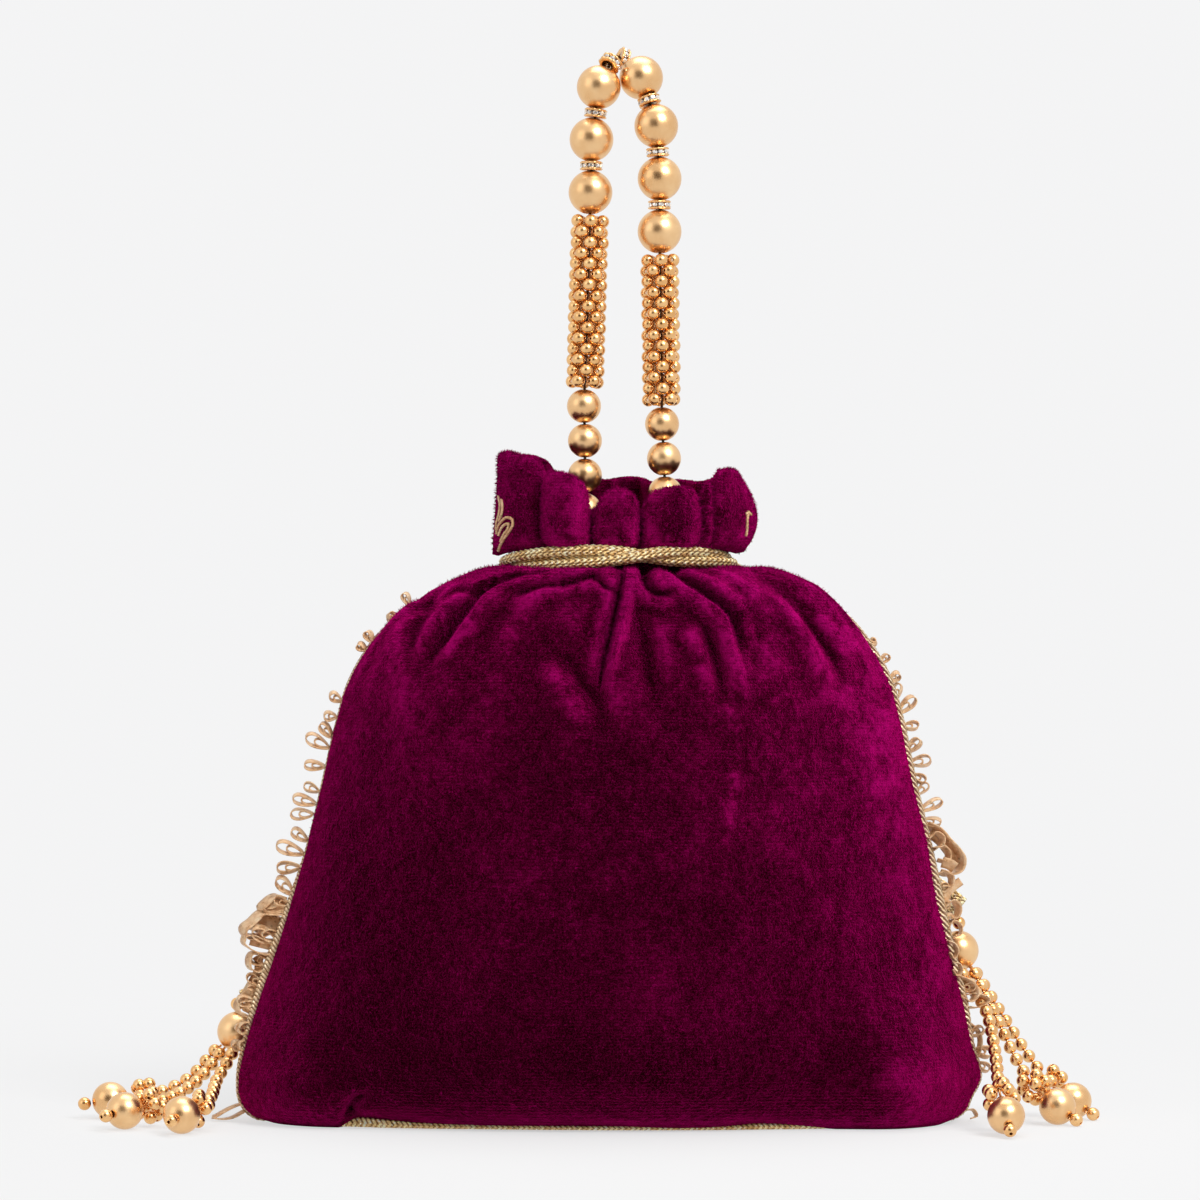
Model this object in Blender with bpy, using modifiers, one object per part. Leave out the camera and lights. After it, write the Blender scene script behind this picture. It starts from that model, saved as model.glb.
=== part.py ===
"""Potli bag: a gathered velvet pouch of two panels, a braided seam, two drawstrings with bead tassels and a
carrying loop of strung beads. Metres, +Z up. X runs across the bag, -Y is the plain side and Z = 0 is the floor."""

import math

import bmesh
import bpy
from mathutils import Vector

# Every pair of neighbouring pieces keeps this gap
GAP = 0.0003

# Bag body, from the floor to the drawstring
WIDEST_HEIGHT = 0.0110
WIDEST_HALF_WIDTH = 0.1062
WIDEST_HALF_DEPTH = 0.0345
FOOT_INSET = 0.0082
FOOT_DEPTH_INSET = 0.0085
INNER_INSET = 0.0100
INNER_DEPTH_INSET = 0.0120
GROOVE_INSET = 0.0100
GROOVE_HALF_DEPTH = 0.0055
GROOVE_HEIGHT = 0.0026
BELLY_HEIGHT = 0.0460
BELLY_HALF_WIDTH = 0.0968
BELLY_HALF_DEPTH = 0.0378
CHEST_HEIGHT = 0.0980
CHEST_HALF_WIDTH = 0.0844
CHEST_HALF_DEPTH = 0.0340
SHOULDER_HEIGHT = 0.1376
SHOULDER_HALF_WIDTH = 0.0696
SHOULDER_HALF_DEPTH = 0.0280
CROWN_HEIGHT = 0.1565
CROWN_HALF_WIDTH = 0.0412
CROWN_HALF_DEPTH = 0.0245
CROWN_SHIFT = 0.0045
PANEL_THICKNESS = 0.0018

# Neck under the drawstring, and the frill above it
NECK_HALF_WIDTH = 0.0285
NECK_HALF_DEPTH = 0.0175
NECK_SHIFT = 0.0020
NECK_HEIGHT = 0.0085
FRILL_HALF_WIDTH = 0.0350
FRILL_HALF_DEPTH = 0.0215
FRILL_HEIGHT = 0.0190
FRILL_SHIFT = 0.0035
FRILL_CORNER_RISE = 0.0035
PLEATS = 10
PLEAT_DEPTH = 0.0021
FRILL_PLEAT_DEPTH = 0.0030
STEPS_PER_PLEAT = 4
BODY_STEPS = [1, 1, 2, 2]
EVEN_SPACING = 0.25

# Drawstring cord
CORD_DIAMETER = 0.0034
WRAP_POINTS = 20
TAIL_POINTS = 12

# Braid over the side and bottom seams
BRAID_WIDTH = 0.0036
BRAID_THICKNESS = 0.0012
BRAID_TOP = 0.1480

# Ribbon loops along the side seams: the middle of each group, and the loops' size as reach from their centre
LOOP_TOP = 0.1304
LOOP_GROUP_PITCH = 0.0142
LEFT_LOOP_GROUPS = 8
RIGHT_LOOP_GROUPS = 6
LOOP_PITCH = 0.0043
LARGE_LOOP = 0.0036
SMALL_LOOP = 0.0023
LOOP_SLIMNESS = 0.62
LOOP_SUNK = 0.0006
LOOP_FAN = 0.25
LOOP_STEPS = 5
RIBBON_WIDTH = 0.0026
RIBBON_THICKNESS = 0.0005

# Beads
BEAD_HOLE = 0.0026
SMALL_BEAD_HOLE = 0.0012
THREAD_DIAMETER = 0.0008
THREAD_SLACK = 0.0007
BIG_BEAD = 0.0123
MIDDLE_BEAD = 0.0096
SMALL_BEAD = 0.0038
TASSEL_BEAD = 0.0115
END_BEAD = 0.0105
STRING_NECK = 0.0014
RONDELLE_DIAMETER = 0.0064
RONDELLE_THICKNESS = 0.0022

# Bead tubes of the handle: small beads woven in staggered rows
TUBE_BEADS_AROUND = 5
TUBE_RING_RADIUS = 0.0038
TUBE_ROW_PITCH = 0.00305
TUBE_BORE = 0.0034
LEFT_TUBE_ROWS = 16
RIGHT_TUBE_ROWS = 14

# The loop turns about the line through two beads that hang in the mouth, beside its middle and below the rim
LEFT_HINGE_ASIDE = -0.0096
RIGHT_HINGE_ASIDE = 0.0133
LEFT_HINGE_DROP = 0.0
RIGHT_HINGE_DROP = 0.0051
ANCHOR_DROP = 0.0120

# The strings from the hinge beads up: each piece, then how far the way to it leans to +X and to -Y, in degrees
LEFT_STRING = [
    ("middle", 0.0, 0.0), ("middle", -1.6, 0.0), ("left_tube", 1.9, 0.0), ("big", 1.6, 0.0), ("rondelle", 1.6, 0.0),
    ("big", 0.6, 0.0), ("rondelle", 8.9, 0.0), ("big", 6.8, 0.0), ("rondelle", 26.0, 0.0),
]
RIGHT_STRING = [
    ("middle", -1.8, 0.0), ("middle", -3.2, 0.0), ("right_tube", -0.9, 0.0), ("big", -0.6, 0.0),
    ("rondelle", 0.0, 0.0), ("big", 0.0, 0.0), ("rondelle", -4.1, 0.0), ("big", -3.1, 0.0),
    ("rondelle", -15.5, -8.0), ("big", -18.4, -16.0), ("rondelle", -42.0, -30.0),
]
TOP_REACH = 0.0093
TOP_LIFT = 0.0006

# Routes of the drawstring tails over the front panel: angle round the bag in degrees, height
LEFT_TAIL = [(128, 0.1590), (133, 0.1480), (139, 0.1300), (145, 0.1060), (150, 0.0800), (152, 0.0520)]
RIGHT_TAIL = [(52, 0.1590), (46, 0.1500), (40, 0.1340), (34, 0.1140), (29, 0.0950), (25, 0.0740)]
TAIL_DROP = 0.0045
TAIL_DROP_LEAN = 1.2

# Tassels: the bead under the drawstring, then the points that each string follows to its end bead
LEFT_TASSEL = Vector((-0.1080, 0.0140, 0.0245))
RIGHT_TASSEL = Vector((0.1003, 0.0150, 0.0478))
LEFT_STRINGS = [
    [(-0.1148, 0.0145, 0.0186), (-0.1220, 0.0130, 0.0110), (-0.1320, 0.0100, 0.0068), (-0.1440, 0.0080, 0.0053)],
    [(-0.1130, 0.0102, 0.0180), (-0.1190, 0.0030, 0.0110), (-0.1270, -0.0095, 0.0070), (-0.1370, -0.0215, 0.0053)],
    [(-0.1091, 0.0075, 0.0184), (-0.1127, 0.0000, 0.0120), (-0.1140, -0.0150, 0.0075), (-0.1200, -0.0330, 0.0053)],
]
RIGHT_STRINGS = [
    [(0.1057, 0.0164, 0.0408), (0.1130, 0.0170, 0.0290), (0.1200, 0.0145, 0.0180), (0.1270, 0.0100, 0.0090),
     (0.1325, 0.0060, 0.0053)],
    [(0.1048, 0.0112, 0.0410), (0.1105, 0.0050, 0.0290), (0.1155, 0.0000, 0.0180), (0.1210, -0.0050, 0.0095),
     (0.1265, -0.0095, 0.0053)],
    [(0.1012, 0.0092, 0.0410), (0.1068, -0.0005, 0.0320), (0.1085, -0.0135, 0.0210), (0.1085, -0.0270, 0.0120),
     (0.1095, -0.0390, 0.0058)],
]
STRING_LEAD = 0.0015
CLUSTER_ROWS = 2
CLUSTER_RADIUS = 0.0054

# Facets
BIG_STEPS = 12
MIDDLE_STEPS = 8
SMALL_STEPS = 6
ARC_POINTS = 5
SMALL_ARC_POINTS = 4
STRING_SIDES = 5
CORD_BEVEL_STEPS = 2
MERGE_DISTANCE = 0.00001


def clear_scene():
    for obj in list(bpy.data.objects):
        bpy.data.objects.remove(obj)


def collection(name, hidden=False):
    made = bpy.data.collections.new(name)
    bpy.context.scene.collection.children.link(made)
    made.hide_render = hidden
    return made


def material(name, colour, roughness, metallic):
    made = bpy.data.materials.new(name)
    made.use_nodes = True
    shader = made.node_tree.nodes["Principled BSDF"]
    shader.inputs["Base Color"].default_value = (*colour, 1.0)
    shader.inputs["Roughness"].default_value = roughness
    shader.inputs["Metallic"].default_value = metallic
    return made


def place(name, data, finish, where):
    obj = bpy.data.objects.new(name, data)
    if finish and not data.materials:
        data.materials.append(finish)
    where.objects.link(obj)
    return obj


def mesh_from(name, corners, faces, edges=()):
    made = bpy.data.meshes.new(name)
    made.from_pydata(corners, edges, faces)
    made.validate()
    return made


def curve_through(points, steps):
    """Points read from a smooth curve through the given ones, steps to each stretch."""
    points = [Vector(point) for point in points]
    ends = [points[0] * 2 - points[1], *points, points[-1] * 2 - points[-2]]
    found = []
    for before, start, end, after in zip(ends, ends[1:], ends[2:], ends[3:]):
        for step in range(steps):
            t = step / steps
            found.append(
                0.5 * (2 * start + (end - before) * t
                       + (2 * before - 5 * start + 4 * end - after) * t ** 2
                       + (3 * start - before - 3 * end + after) * t ** 3)
            )
    return found + [points[-1]]


def evenly(points, count):
    """The same line with count points at equal distances along it."""
    lengths = [0.0]
    for start, end in zip(points, points[1:]):
        lengths.append(lengths[-1] + (end - start).length)
    found = []
    stretch = 0
    for index in range(count):
        wanted = lengths[-1] * index / (count - 1)
        while stretch < len(points) - 2 and lengths[stretch + 1] < wanted:
            stretch += 1
        share = (wanted - lengths[stretch]) / (lengths[stretch + 1] - lengths[stretch])
        found.append(points[stretch].lerp(points[stretch + 1], share))
    return found


def cord(name, points, diameter, finish, where, cyclic=False):
    curve = bpy.data.curves.new(name, "CURVE")
    curve.dimensions = "3D"
    curve.bevel_depth = diameter / 2
    curve.bevel_resolution = CORD_BEVEL_STEPS
    curve.use_fill_caps = True
    spline = curve.splines.new("POLY")
    spline.points.add(len(points) - 1)
    for target, point in zip(spline.points, points):
        target.co = (*point, 1.0)
    spline.use_cyclic_u = cyclic
    return place(name, curve, finish, where)


def turned(name, profile, steps, finish, where):
    """A closed profile turned about Z: it runs down its outer side and back up its bore."""
    count = len(profile)
    edges = [(index, (index + 1) % count) for index in range(count)]
    obj = place(name, mesh_from(name, [(x, 0.0, z) for x, z in profile], [], edges), finish, where)
    screw = obj.modifiers.new("turn", "SCREW")
    screw.steps = steps
    screw.render_steps = steps
    screw.use_merge_vertices = True
    screw.merge_threshold = MERGE_DISTANCE
    return obj


def bead(name, diameter, steps, centre, axis, finish, where, hole=BEAD_HOLE):
    """A round bead with a straight hole along axis."""
    radius = diameter / 2
    first = math.asin(hole / diameter)
    profile = []
    count = SMALL_ARC_POINTS if steps == SMALL_STEPS else ARC_POINTS
    for index in range(count):
        angle = first + (math.pi - 2 * first) * index / (count - 1)
        profile.append((radius * math.sin(angle), radius * math.cos(angle)))
    obj = turned(name, profile, steps, finish, where)
    obj.location = centre
    obj.rotation_euler = Vector(axis).to_track_quat("Z", "Y").to_euler()
    return obj


def rondelle(name, centre, axis, finish, where):
    half = RONDELLE_THICKNESS / 2
    outer = RONDELLE_DIAMETER / 2
    inner = BEAD_HOLE / 2
    profile = [(inner, half), (outer, half), (outer, -half), (inner, -half)]
    obj = turned(name, profile, MIDDLE_STEPS, finish, where)
    obj.location = centre
    obj.rotation_euler = Vector(axis).to_track_quat("Z", "Y").to_euler()
    return obj


def rings_to_faces(rings, sides):
    return [
        (ring * sides + side, ring * sides + (side + 1) % sides,
         (ring + 1) * sides + (side + 1) % sides, (ring + 1) * sides + side)
        for ring in range(rings - 1) for side in range(sides)
    ]


def tube_length(rows):
    return (rows - 1) * TUBE_ROW_PITCH + SMALL_BEAD


def bead_tube(name, rows, centre, axis, finish, where):
    """Staggered rows of small beads round a bore, as one bumpy sleeve."""
    sides = 2 * TUBE_BEADS_AROUND
    crest = TUBE_RING_RADIUS + SMALL_BEAD / 2
    saddle = TUBE_RING_RADIUS + SMALL_BEAD / 4
    valley = TUBE_RING_RADIUS
    end = tube_length(rows) / 2
    levels = [(-end, [saddle] * sides)]
    for row in range(rows):
        height = -end + SMALL_BEAD / 2 + row * TUBE_ROW_PITCH
        levels.append((height, [crest if (row + side) % 2 == 0 else valley for side in range(sides)]))
    levels.append((end, [saddle] * sides))
    levels.append((end, [TUBE_BORE / 2] * sides))
    levels.append((-end, [TUBE_BORE / 2] * sides))
    corners = []
    for height, radii in levels:
        for side, radius in enumerate(radii):
            angle = 2 * math.pi * side / sides
            corners.append((radius * math.cos(angle), radius * math.sin(angle), height))
    faces = rings_to_faces(len(levels), sides)
    last = (len(levels) - 1) * sides
    faces += [(last + side, last + (side + 1) % sides, (side + 1) % sides, side) for side in range(sides)]
    obj = place(name, mesh_from(name, corners, faces), finish, where)
    obj.location = centre
    obj.rotation_euler = Vector(axis).to_track_quat("Z", "Y").to_euler()
    return obj


def lean(aside, forward=0.0):
    """The direction that leans this many degrees from the vertical to +X and to -Y."""
    aside = math.radians(aside)
    forward = math.radians(forward)
    return Vector((math.sin(aside) * math.cos(forward), -math.sin(forward), math.cos(aside) * math.cos(forward)))


def half_height(kind):
    return {
        "middle": MIDDLE_BEAD / 2,
        "big": BIG_BEAD / 2,
        "rondelle": RONDELLE_THICKNESS / 2,
        "left_tube": tube_length(LEFT_TUBE_ROWS) / 2,
        "right_tube": tube_length(RIGHT_TUBE_ROWS) / 2,
    }[kind]


def strung(start, string):
    """The pieces of one string from its hinge bead up, as kind, centre and the axis of the hole."""
    kinds = ["middle"] + [kind for kind, _, _ in string]
    ways = [lean(aside, forward) for _, aside, forward in string]
    centres = [Vector(start)]
    for before, kind, way in zip(kinds, kinds[1:], ways):
        centres.append(centres[-1] + way * (half_height(before) + GAP + half_height(kind)))
    axes = [(before + after).normalized() for before, after in zip([Vector((0.0, 0.0, 1.0))] + ways, ways + ways[-1:])]
    return list(zip(kinds, centres, axes))


def over_the_top(placed, other_top):
    """The last rondelle stands behind its bead and faces the other string's top, halfway through the turn."""
    kind, centre, _ = placed[-1]
    bead_centre = placed[-2][1]
    way = (centre - bead_centre).normalized()
    centre = bead_centre + way * TOP_REACH
    axis = (way + (other_top - centre).normalized()).normalized()
    return placed[:-1] + [(kind, centre, axis)]


def hole_end(kind, centre, axis, toward):
    """Where the thread passes the mouth of a hole, drawn over to the next piece as far as the hole lets it."""
    pole = centre + axis * half_height(kind)
    away = toward - pole
    aside = away - axis * away.dot(axis) / axis.length_squared
    if aside.length > THREAD_SLACK:
        aside = aside * (THREAD_SLACK / aside.length)
    return pole + aside


def thread_line(placed):
    """The thread's way through the pieces of one string, from the middle of the hinge bead up."""
    line = [placed[0][1]]
    for (kind, centre, axis), (next_kind, next_centre, next_axis) in zip(placed, placed[1:]):
        way = (next_centre - centre).normalized()
        meeting = centre + way * (half_height(kind) + GAP / 2)
        leaving = hole_end(kind, centre, axis, meeting)
        entering = hole_end(next_kind, next_centre, -next_axis, meeting)
        if (entering - leaving).length > 2 * TOP_LIFT:
            entering = next_centre - next_axis * half_height(next_kind)
            line += [leaving, entering - next_axis * TOP_LIFT, entering]
        elif (entering - leaving).length > 1.2 * GAP:
            line += [leaving, entering]
        else:
            line.append((leaving + entering) / 2)
    kind, centre, axis = placed[-1]
    top = centre + axis * half_height(kind)
    return line + [top, top + axis * TOP_LIFT]


class Station:
    """One level of the bag: its height, half width, half depth, sideways shift and depth of the pleats."""

    def __init__(self, height, half_width, half_depth, shift=0.0, pleat=0.0):
        self.values = (height, half_width, half_depth, shift, pleat)

    def between(self, before, other, after, t):
        made = []
        for a, b, c, d in zip(before.values, self.values, other.values, after.values):
            made.append(0.5 * (2 * b + (c - a) * t + (2 * a - 5 * b + 4 * c - d) * t ** 2
                               + (3 * b - a - 3 * c + d) * t ** 3))
        return Station(*made)


def body_stations():
    """The levels that shape the outside, from the widest up to the crown of the shoulder."""
    return [
        Station(WIDEST_HEIGHT, WIDEST_HALF_WIDTH, WIDEST_HALF_DEPTH),
        Station(BELLY_HEIGHT, BELLY_HALF_WIDTH, BELLY_HALF_DEPTH),
        Station(CHEST_HEIGHT, CHEST_HALF_WIDTH, CHEST_HALF_DEPTH, NECK_SHIFT * 0.8, PLEAT_DEPTH / 8),
        Station(SHOULDER_HEIGHT, SHOULDER_HALF_WIDTH, SHOULDER_HALF_DEPTH, NECK_SHIFT, PLEAT_DEPTH * 0.6),
        Station(CROWN_HEIGHT, CROWN_HALF_WIDTH, CROWN_HALF_DEPTH, CROWN_SHIFT, PLEAT_DEPTH),
    ]


def body_levels(steps):
    """Levels read from a smooth curve through the body's stations, with this many steps to each stretch."""
    stations = body_stations()
    ends = [stations[0], *stations, stations[-1]]
    made = []
    for count, before, start, end, after in zip(steps, ends, ends[1:], ends[2:], ends[3:]):
        made += [start.between(before, end, after, step / count) for step in range(count)]
    return made + [stations[-1]]


def neck_bottom():
    return CROWN_HEIGHT + PANEL_THICKNESS / 3


def frill_bottom():
    return neck_bottom() + NECK_HEIGHT


def bag_levels():
    """Every level of the bag, from the groove under the base to the rim of the frill."""
    rim = frill_bottom() + FRILL_HEIGHT
    flare = frill_bottom() + FRILL_HEIGHT * 0.45
    foot_width = WIDEST_HALF_WIDTH - FOOT_INSET
    foot_depth = WIDEST_HALF_DEPTH - FOOT_DEPTH_INSET
    inner_width = foot_width - INNER_INSET
    base = [
        Station(0.0, inner_width - GROOVE_INSET, GROOVE_HALF_DEPTH),
        Station(0.0, inner_width, foot_depth - INNER_DEPTH_INSET),
        Station(0.0, foot_width, foot_depth),
        Station(WIDEST_HEIGHT * 0.3, WIDEST_HALF_WIDTH - FOOT_INSET / 3, WIDEST_HALF_DEPTH - FOOT_DEPTH_INSET * 0.4),
    ]
    top = [
        Station(neck_bottom(), NECK_HALF_WIDTH, NECK_HALF_DEPTH, NECK_SHIFT, PLEAT_DEPTH * 0.6),
        Station(frill_bottom(), NECK_HALF_WIDTH, NECK_HALF_DEPTH, NECK_SHIFT, PLEAT_DEPTH * 0.6),
        Station(flare, FRILL_HALF_WIDTH, FRILL_HALF_DEPTH, FRILL_SHIFT, FRILL_PLEAT_DEPTH),
        Station(rim, FRILL_HALF_WIDTH, FRILL_HALF_DEPTH, FRILL_SHIFT, FRILL_PLEAT_DEPTH),
    ]
    return base + body_levels(BODY_STEPS) + top


def ring_point(station, turn):
    """A point of the outside at this level. Turn runs evenly round the bag, and the pleats follow it."""
    height, half_width, half_depth, shift, pleat = station.values
    angle = turn + EVEN_SPACING / 2 * math.sin(2 * turn)
    out = pleat * math.cos(PLEATS * turn)
    x = shift + (half_width + out) * math.cos(angle)
    y = (half_depth + out) * math.sin(angle)
    if height < GROOVE_HEIGHT:
        height = max(height, GROOVE_HEIGHT * (abs(y) < GROOVE_HALF_DEPTH * 0.8))
    return Vector((x, y, height))


def rim_rise(turn):
    """The frill stands higher at its two side corners."""
    return FRILL_CORNER_RISE * math.cos(turn) ** 4


def bag_mesh():
    """The outside of the whole bag as an open loft, closed under the base."""
    levels = bag_levels()
    sides = PLEATS * STEPS_PER_PLEAT
    corners = []
    for number, station in enumerate(levels):
        for side in range(sides):
            turn = 2 * math.pi * (side + 0.5) / sides
            point = ring_point(station, turn)
            if number == len(levels) - 1:
                point.z += rim_rise(turn)
            if number == 0:
                point.z = GROOVE_HEIGHT
            corners.append(point)
    faces = rings_to_faces(len(levels), sides)
    faces.append(tuple(reversed(range(sides))))
    return mesh_from("bag", corners, faces)


def half_space(name, front, where):
    """A cutter that takes away the front or the back half of the bag, with half the seam's gap."""
    reach = 4 * WIDEST_HALF_WIDTH
    made = bpy.data.meshes.new(name)
    shape = bmesh.new()
    bmesh.ops.create_cube(shape, size=reach)
    middle = (reach - GAP) / 2
    bmesh.ops.translate(shape, verts=shape.verts, vec=(0.0, middle if front else -middle, 0.0))
    shape.to_mesh(made)
    shape.free()
    obj = place(name, made, None, where)
    obj.hide_render = True
    obj.display_type = "WIRE"
    return obj


def panel(name, mesh, cutter, finish, where):
    obj = place(name, mesh, finish, where)
    wall = obj.modifiers.new("cloth", "SOLIDIFY")
    wall.thickness = PANEL_THICKNESS
    wall.offset = -1.0
    cut = obj.modifiers.new("seam", "BOOLEAN")
    cut.operation = "DIFFERENCE"
    cut.object = cutter
    return obj


def seam_line(side, offset):
    """The bag's outline at the seam, this far outside it: from under the base out and up to the braid's top."""
    line = []
    for station in bag_levels():
        point = ring_point(station, 0.0 if side > 0 else math.pi)
        if point.z > BRAID_TOP:
            break
        line.append(Vector((point.x * side, 0.0, max(point.z, GROOVE_HEIGHT))))
    normals = []
    for start, end in zip(line, line[1:]):
        normals.append(Vector((end.z - start.z, 0.0, start.x - end.x)).normalized())
    moved = []
    for number, point in enumerate(line):
        before = normals[max(number - 1, 0)]
        after = normals[min(number, len(normals) - 1)]
        mitre = (before + after).normalized()
        point = point + mitre * offset / mitre.dot(after)
        moved.append(Vector((point.x * side, 0.0, point.z)))
    return moved


def ribbon_loops(name, where):
    """The loops that stand out of the braid, in groups of a small, a large and a small one."""
    corners = []
    faces = []
    for side in (-1, 1):
        line = evenly(seam_line(side, GAP + BRAID_THICKNESS), 200)
        groups = LEFT_LOOP_GROUPS if side < 0 else RIGHT_LOOP_GROUPS
        for height in (LOOP_TOP - LOOP_GROUP_PITCH * number for number in range(groups)):
            for step, reach in ((-1, SMALL_LOOP), (0, LARGE_LOOP), (1, SMALL_LOOP)):
                at = min(range(1, 199), key=lambda index: abs(line[index].z - height - step * LOOP_PITCH)
                         + (line[index].x * side < CHEST_HALF_WIDTH / 2))
                along = (line[at + 1] - line[at - 1]).normalized()
                out = Vector((along.z, 0.0, -along.x)) * side
                along = (along - out * LOOP_FAN * step).normalized()
                out = Vector((along.z, 0.0, -along.x)) * side
                centre = line[at] + out * (reach - LOOP_SUNK)
                first = len(corners)
                for inset, across in ((0, -1), (0, 1), (1, 1), (1, -1)):
                    for turn in range(LOOP_STEPS):
                        angle = 2 * math.pi * (turn + 0.5) / LOOP_STEPS
                        corners.append(
                            centre + out * (reach - inset * RIBBON_THICKNESS) * math.cos(angle)
                            + along * (reach * LOOP_SLIMNESS - inset * RIBBON_THICKNESS) * math.sin(angle)
                            + Vector((0.0, across * RIBBON_WIDTH / 2, 0.0))
                        )
                faces += [tuple(first + corner for corner in face) for face in rings_to_faces(4, LOOP_STEPS)]
                last = first + 3 * LOOP_STEPS
                faces += [(last + turn, last + (turn + 1) % LOOP_STEPS,
                           first + (turn + 1) % LOOP_STEPS, first + turn) for turn in range(LOOP_STEPS)]
    obj = place(name, mesh_from(name, corners, faces), None, where)
    facing_out(obj)
    obj.hide_render = True
    obj.display_type = "WIRE"
    return obj


def braid(name, finish, where, helpers):
    """A flat band that covers both side seams and the bottom seam in one piece, with its ribbon loops."""
    inner = list(reversed(seam_line(-1, GAP))) + seam_line(1, GAP)
    outer = list(reversed(seam_line(-1, GAP + BRAID_THICKNESS))) + seam_line(1, GAP + BRAID_THICKNESS)
    across = Vector((0.0, BRAID_WIDTH / 2, 0.0))
    corners = []
    for near, far in zip(inner, outer):
        corners += [far - across, far + across, near + across, near - across]
    faces = rings_to_faces(len(inner), 4)
    last = 4 * (len(inner) - 1)
    faces += [(3, 2, 1, 0), (last, last + 1, last + 2, last + 3)]
    obj = place(name, mesh_from(name, corners, faces), finish, where)
    facing_out(obj)
    sewn = obj.modifiers.new("loops", "BOOLEAN")
    sewn.operation = "UNION"
    sewn.object = ribbon_loops("ribbon_loops", helpers)
    return obj


def wrap(name, height, finish, where):
    """One turn of the drawstring round the neck."""
    out = PLEAT_DEPTH * 0.6 + GAP + CORD_DIAMETER / 2
    points = []
    for number in range(WRAP_POINTS):
        angle = 2 * math.pi * number / WRAP_POINTS
        x = NECK_SHIFT + (NECK_HALF_WIDTH + out) * math.cos(angle)
        points.append((x, (NECK_HALF_DEPTH + out) * math.sin(angle), height))
    return cord(name, points, CORD_DIAMETER, finish, where, cyclic=True)


def level_at(height):
    """The level of the body at this height."""
    levels = body_levels([8] * len(BODY_STEPS))
    for low, high in zip(levels, levels[1:]):
        if height <= high.values[0]:
            share = (height - low.values[0]) / (high.values[0] - low.values[0])
            return [a + (b - a) * share for a, b in zip(low.values, high.values)]
    return list(levels[-1].values[:1]) + list(levels[-1].values[1:])


def on_body(degrees, height, offset):
    """The point this far outside the body at this angle round it, with the outward direction."""
    _, half_width, half_depth, shift, pleat = level_at(height)
    angle = math.radians(degrees)
    out = Vector((math.cos(angle) / half_width, math.sin(angle) / half_depth, 0.0)).normalized()
    surface = Vector((shift + half_width * math.cos(angle), half_depth * math.sin(angle), height))
    return surface + out * (offset + pleat), out


def tail(name, route, sideways, finish, where, tassel):
    """One of the two cords of a tail, lying on the front panel down to the tassel's collar."""
    offset = CORD_DIAMETER / 2 + GAP * 3
    apart = (CORD_DIAMETER + 3 * GAP) / 2 * sideways
    middle = [on_body(degrees, height, offset) for degrees, height in route]
    collar = tassel + Vector((0.0, 0.0, TASSEL_BEAD / 2 + GAP + SMALL_BEAD))
    drop = Vector((-TAIL_DROP_LEAN * math.copysign(TAIL_DROP, tassel.x), 0.0, TAIL_DROP))
    rise = Vector((0.0, 0.0, GAP + CORD_DIAMETER / 2 * TAIL_DROP_LEAN))
    last_out = middle[-1][1]
    middle += [(collar + rise + drop, last_out), (collar + rise, last_out)]
    points = []
    for number, (point, out) in enumerate(middle):
        ahead = middle[min(number + 1, len(middle) - 1)][0] - middle[max(number - 1, 0)][0]
        points.append(point + out.cross(ahead.normalized()).normalized() * apart)
    return cord(name, evenly(curve_through(points, 6), TAIL_POINTS), CORD_DIAMETER, finish, where)


def bead_string(name, route, finish, where):
    """A string of small beads that ends in a cluster of them, as one piece along its route."""
    line = curve_through(route, 12)
    length = sum((end - start).length for start, end in zip(line, line[1:]))
    end_room = END_BEAD / 2 + GAP
    cluster = CLUSTER_ROWS * TUBE_ROW_PITCH + SMALL_BEAD * 0.4
    straight = length - end_room - cluster
    beads = max(2, round((straight - STRING_LEAD) / SMALL_BEAD))
    pitch = (straight - STRING_LEAD) / beads
    stops = [(0.0, [STRING_NECK / 2] * STRING_SIDES)]
    for number in range(beads):
        stops.append((STRING_LEAD + number * pitch, [STRING_NECK / 2] * STRING_SIDES))
        stops.append((STRING_LEAD + (number + 0.5) * pitch, [SMALL_BEAD / 2] * STRING_SIDES))
    stops.append((straight, [STRING_NECK / 2] * STRING_SIDES))
    low = CLUSTER_RADIUS - SMALL_BEAD * 0.45
    for row in range(CLUSTER_ROWS):
        at = straight + SMALL_BEAD * 0.5 + row * TUBE_ROW_PITCH
        stops.append((at, [CLUSTER_RADIUS if (row + side) % 2 else low for side in range(STRING_SIDES)]))
    stops.append((straight + cluster, [STRING_NECK / 2] * STRING_SIDES))
    fine = evenly(line, 400)
    corners = []
    for at, radii in stops:
        index = min(len(fine) - 2, int(at / length * (len(fine) - 1)))
        ahead = (fine[index + 1] - fine[index]).normalized()
        side_way = ahead.cross(Vector((0.0, 0.0, 1.0))).normalized()
        up = side_way.cross(ahead)
        for side, radius in enumerate(radii):
            angle = 2 * math.pi * side / STRING_SIDES
            corners.append(fine[index] + (side_way * math.cos(angle) + up * math.sin(angle)) * radius)
    faces = rings_to_faces(len(stops), STRING_SIDES)
    last = (len(stops) - 1) * STRING_SIDES
    faces += [tuple(reversed(range(STRING_SIDES))), tuple(range(last, last + STRING_SIDES))]
    made = mesh_from(name, corners, faces)
    return place(name, made, finish, where)


def facing_out(obj):
    """Turns the faces of a hand-made loft outwards."""
    shape = bmesh.new()
    shape.from_mesh(obj.data)
    bmesh.ops.recalc_face_normals(shape, faces=shape.faces)
    shape.to_mesh(obj.data)
    shape.free()


def build_bag(velvet, gold, pieces, helpers):
    mesh = bag_mesh()
    mesh.materials.append(velvet)
    panel("back_panel", mesh, half_space("front_cutter", True, helpers), velvet, pieces)
    panel("front_panel", mesh, half_space("back_cutter", False, helpers), velvet, pieces)
    braid("seam_braid", gold, pieces, helpers)


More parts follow.
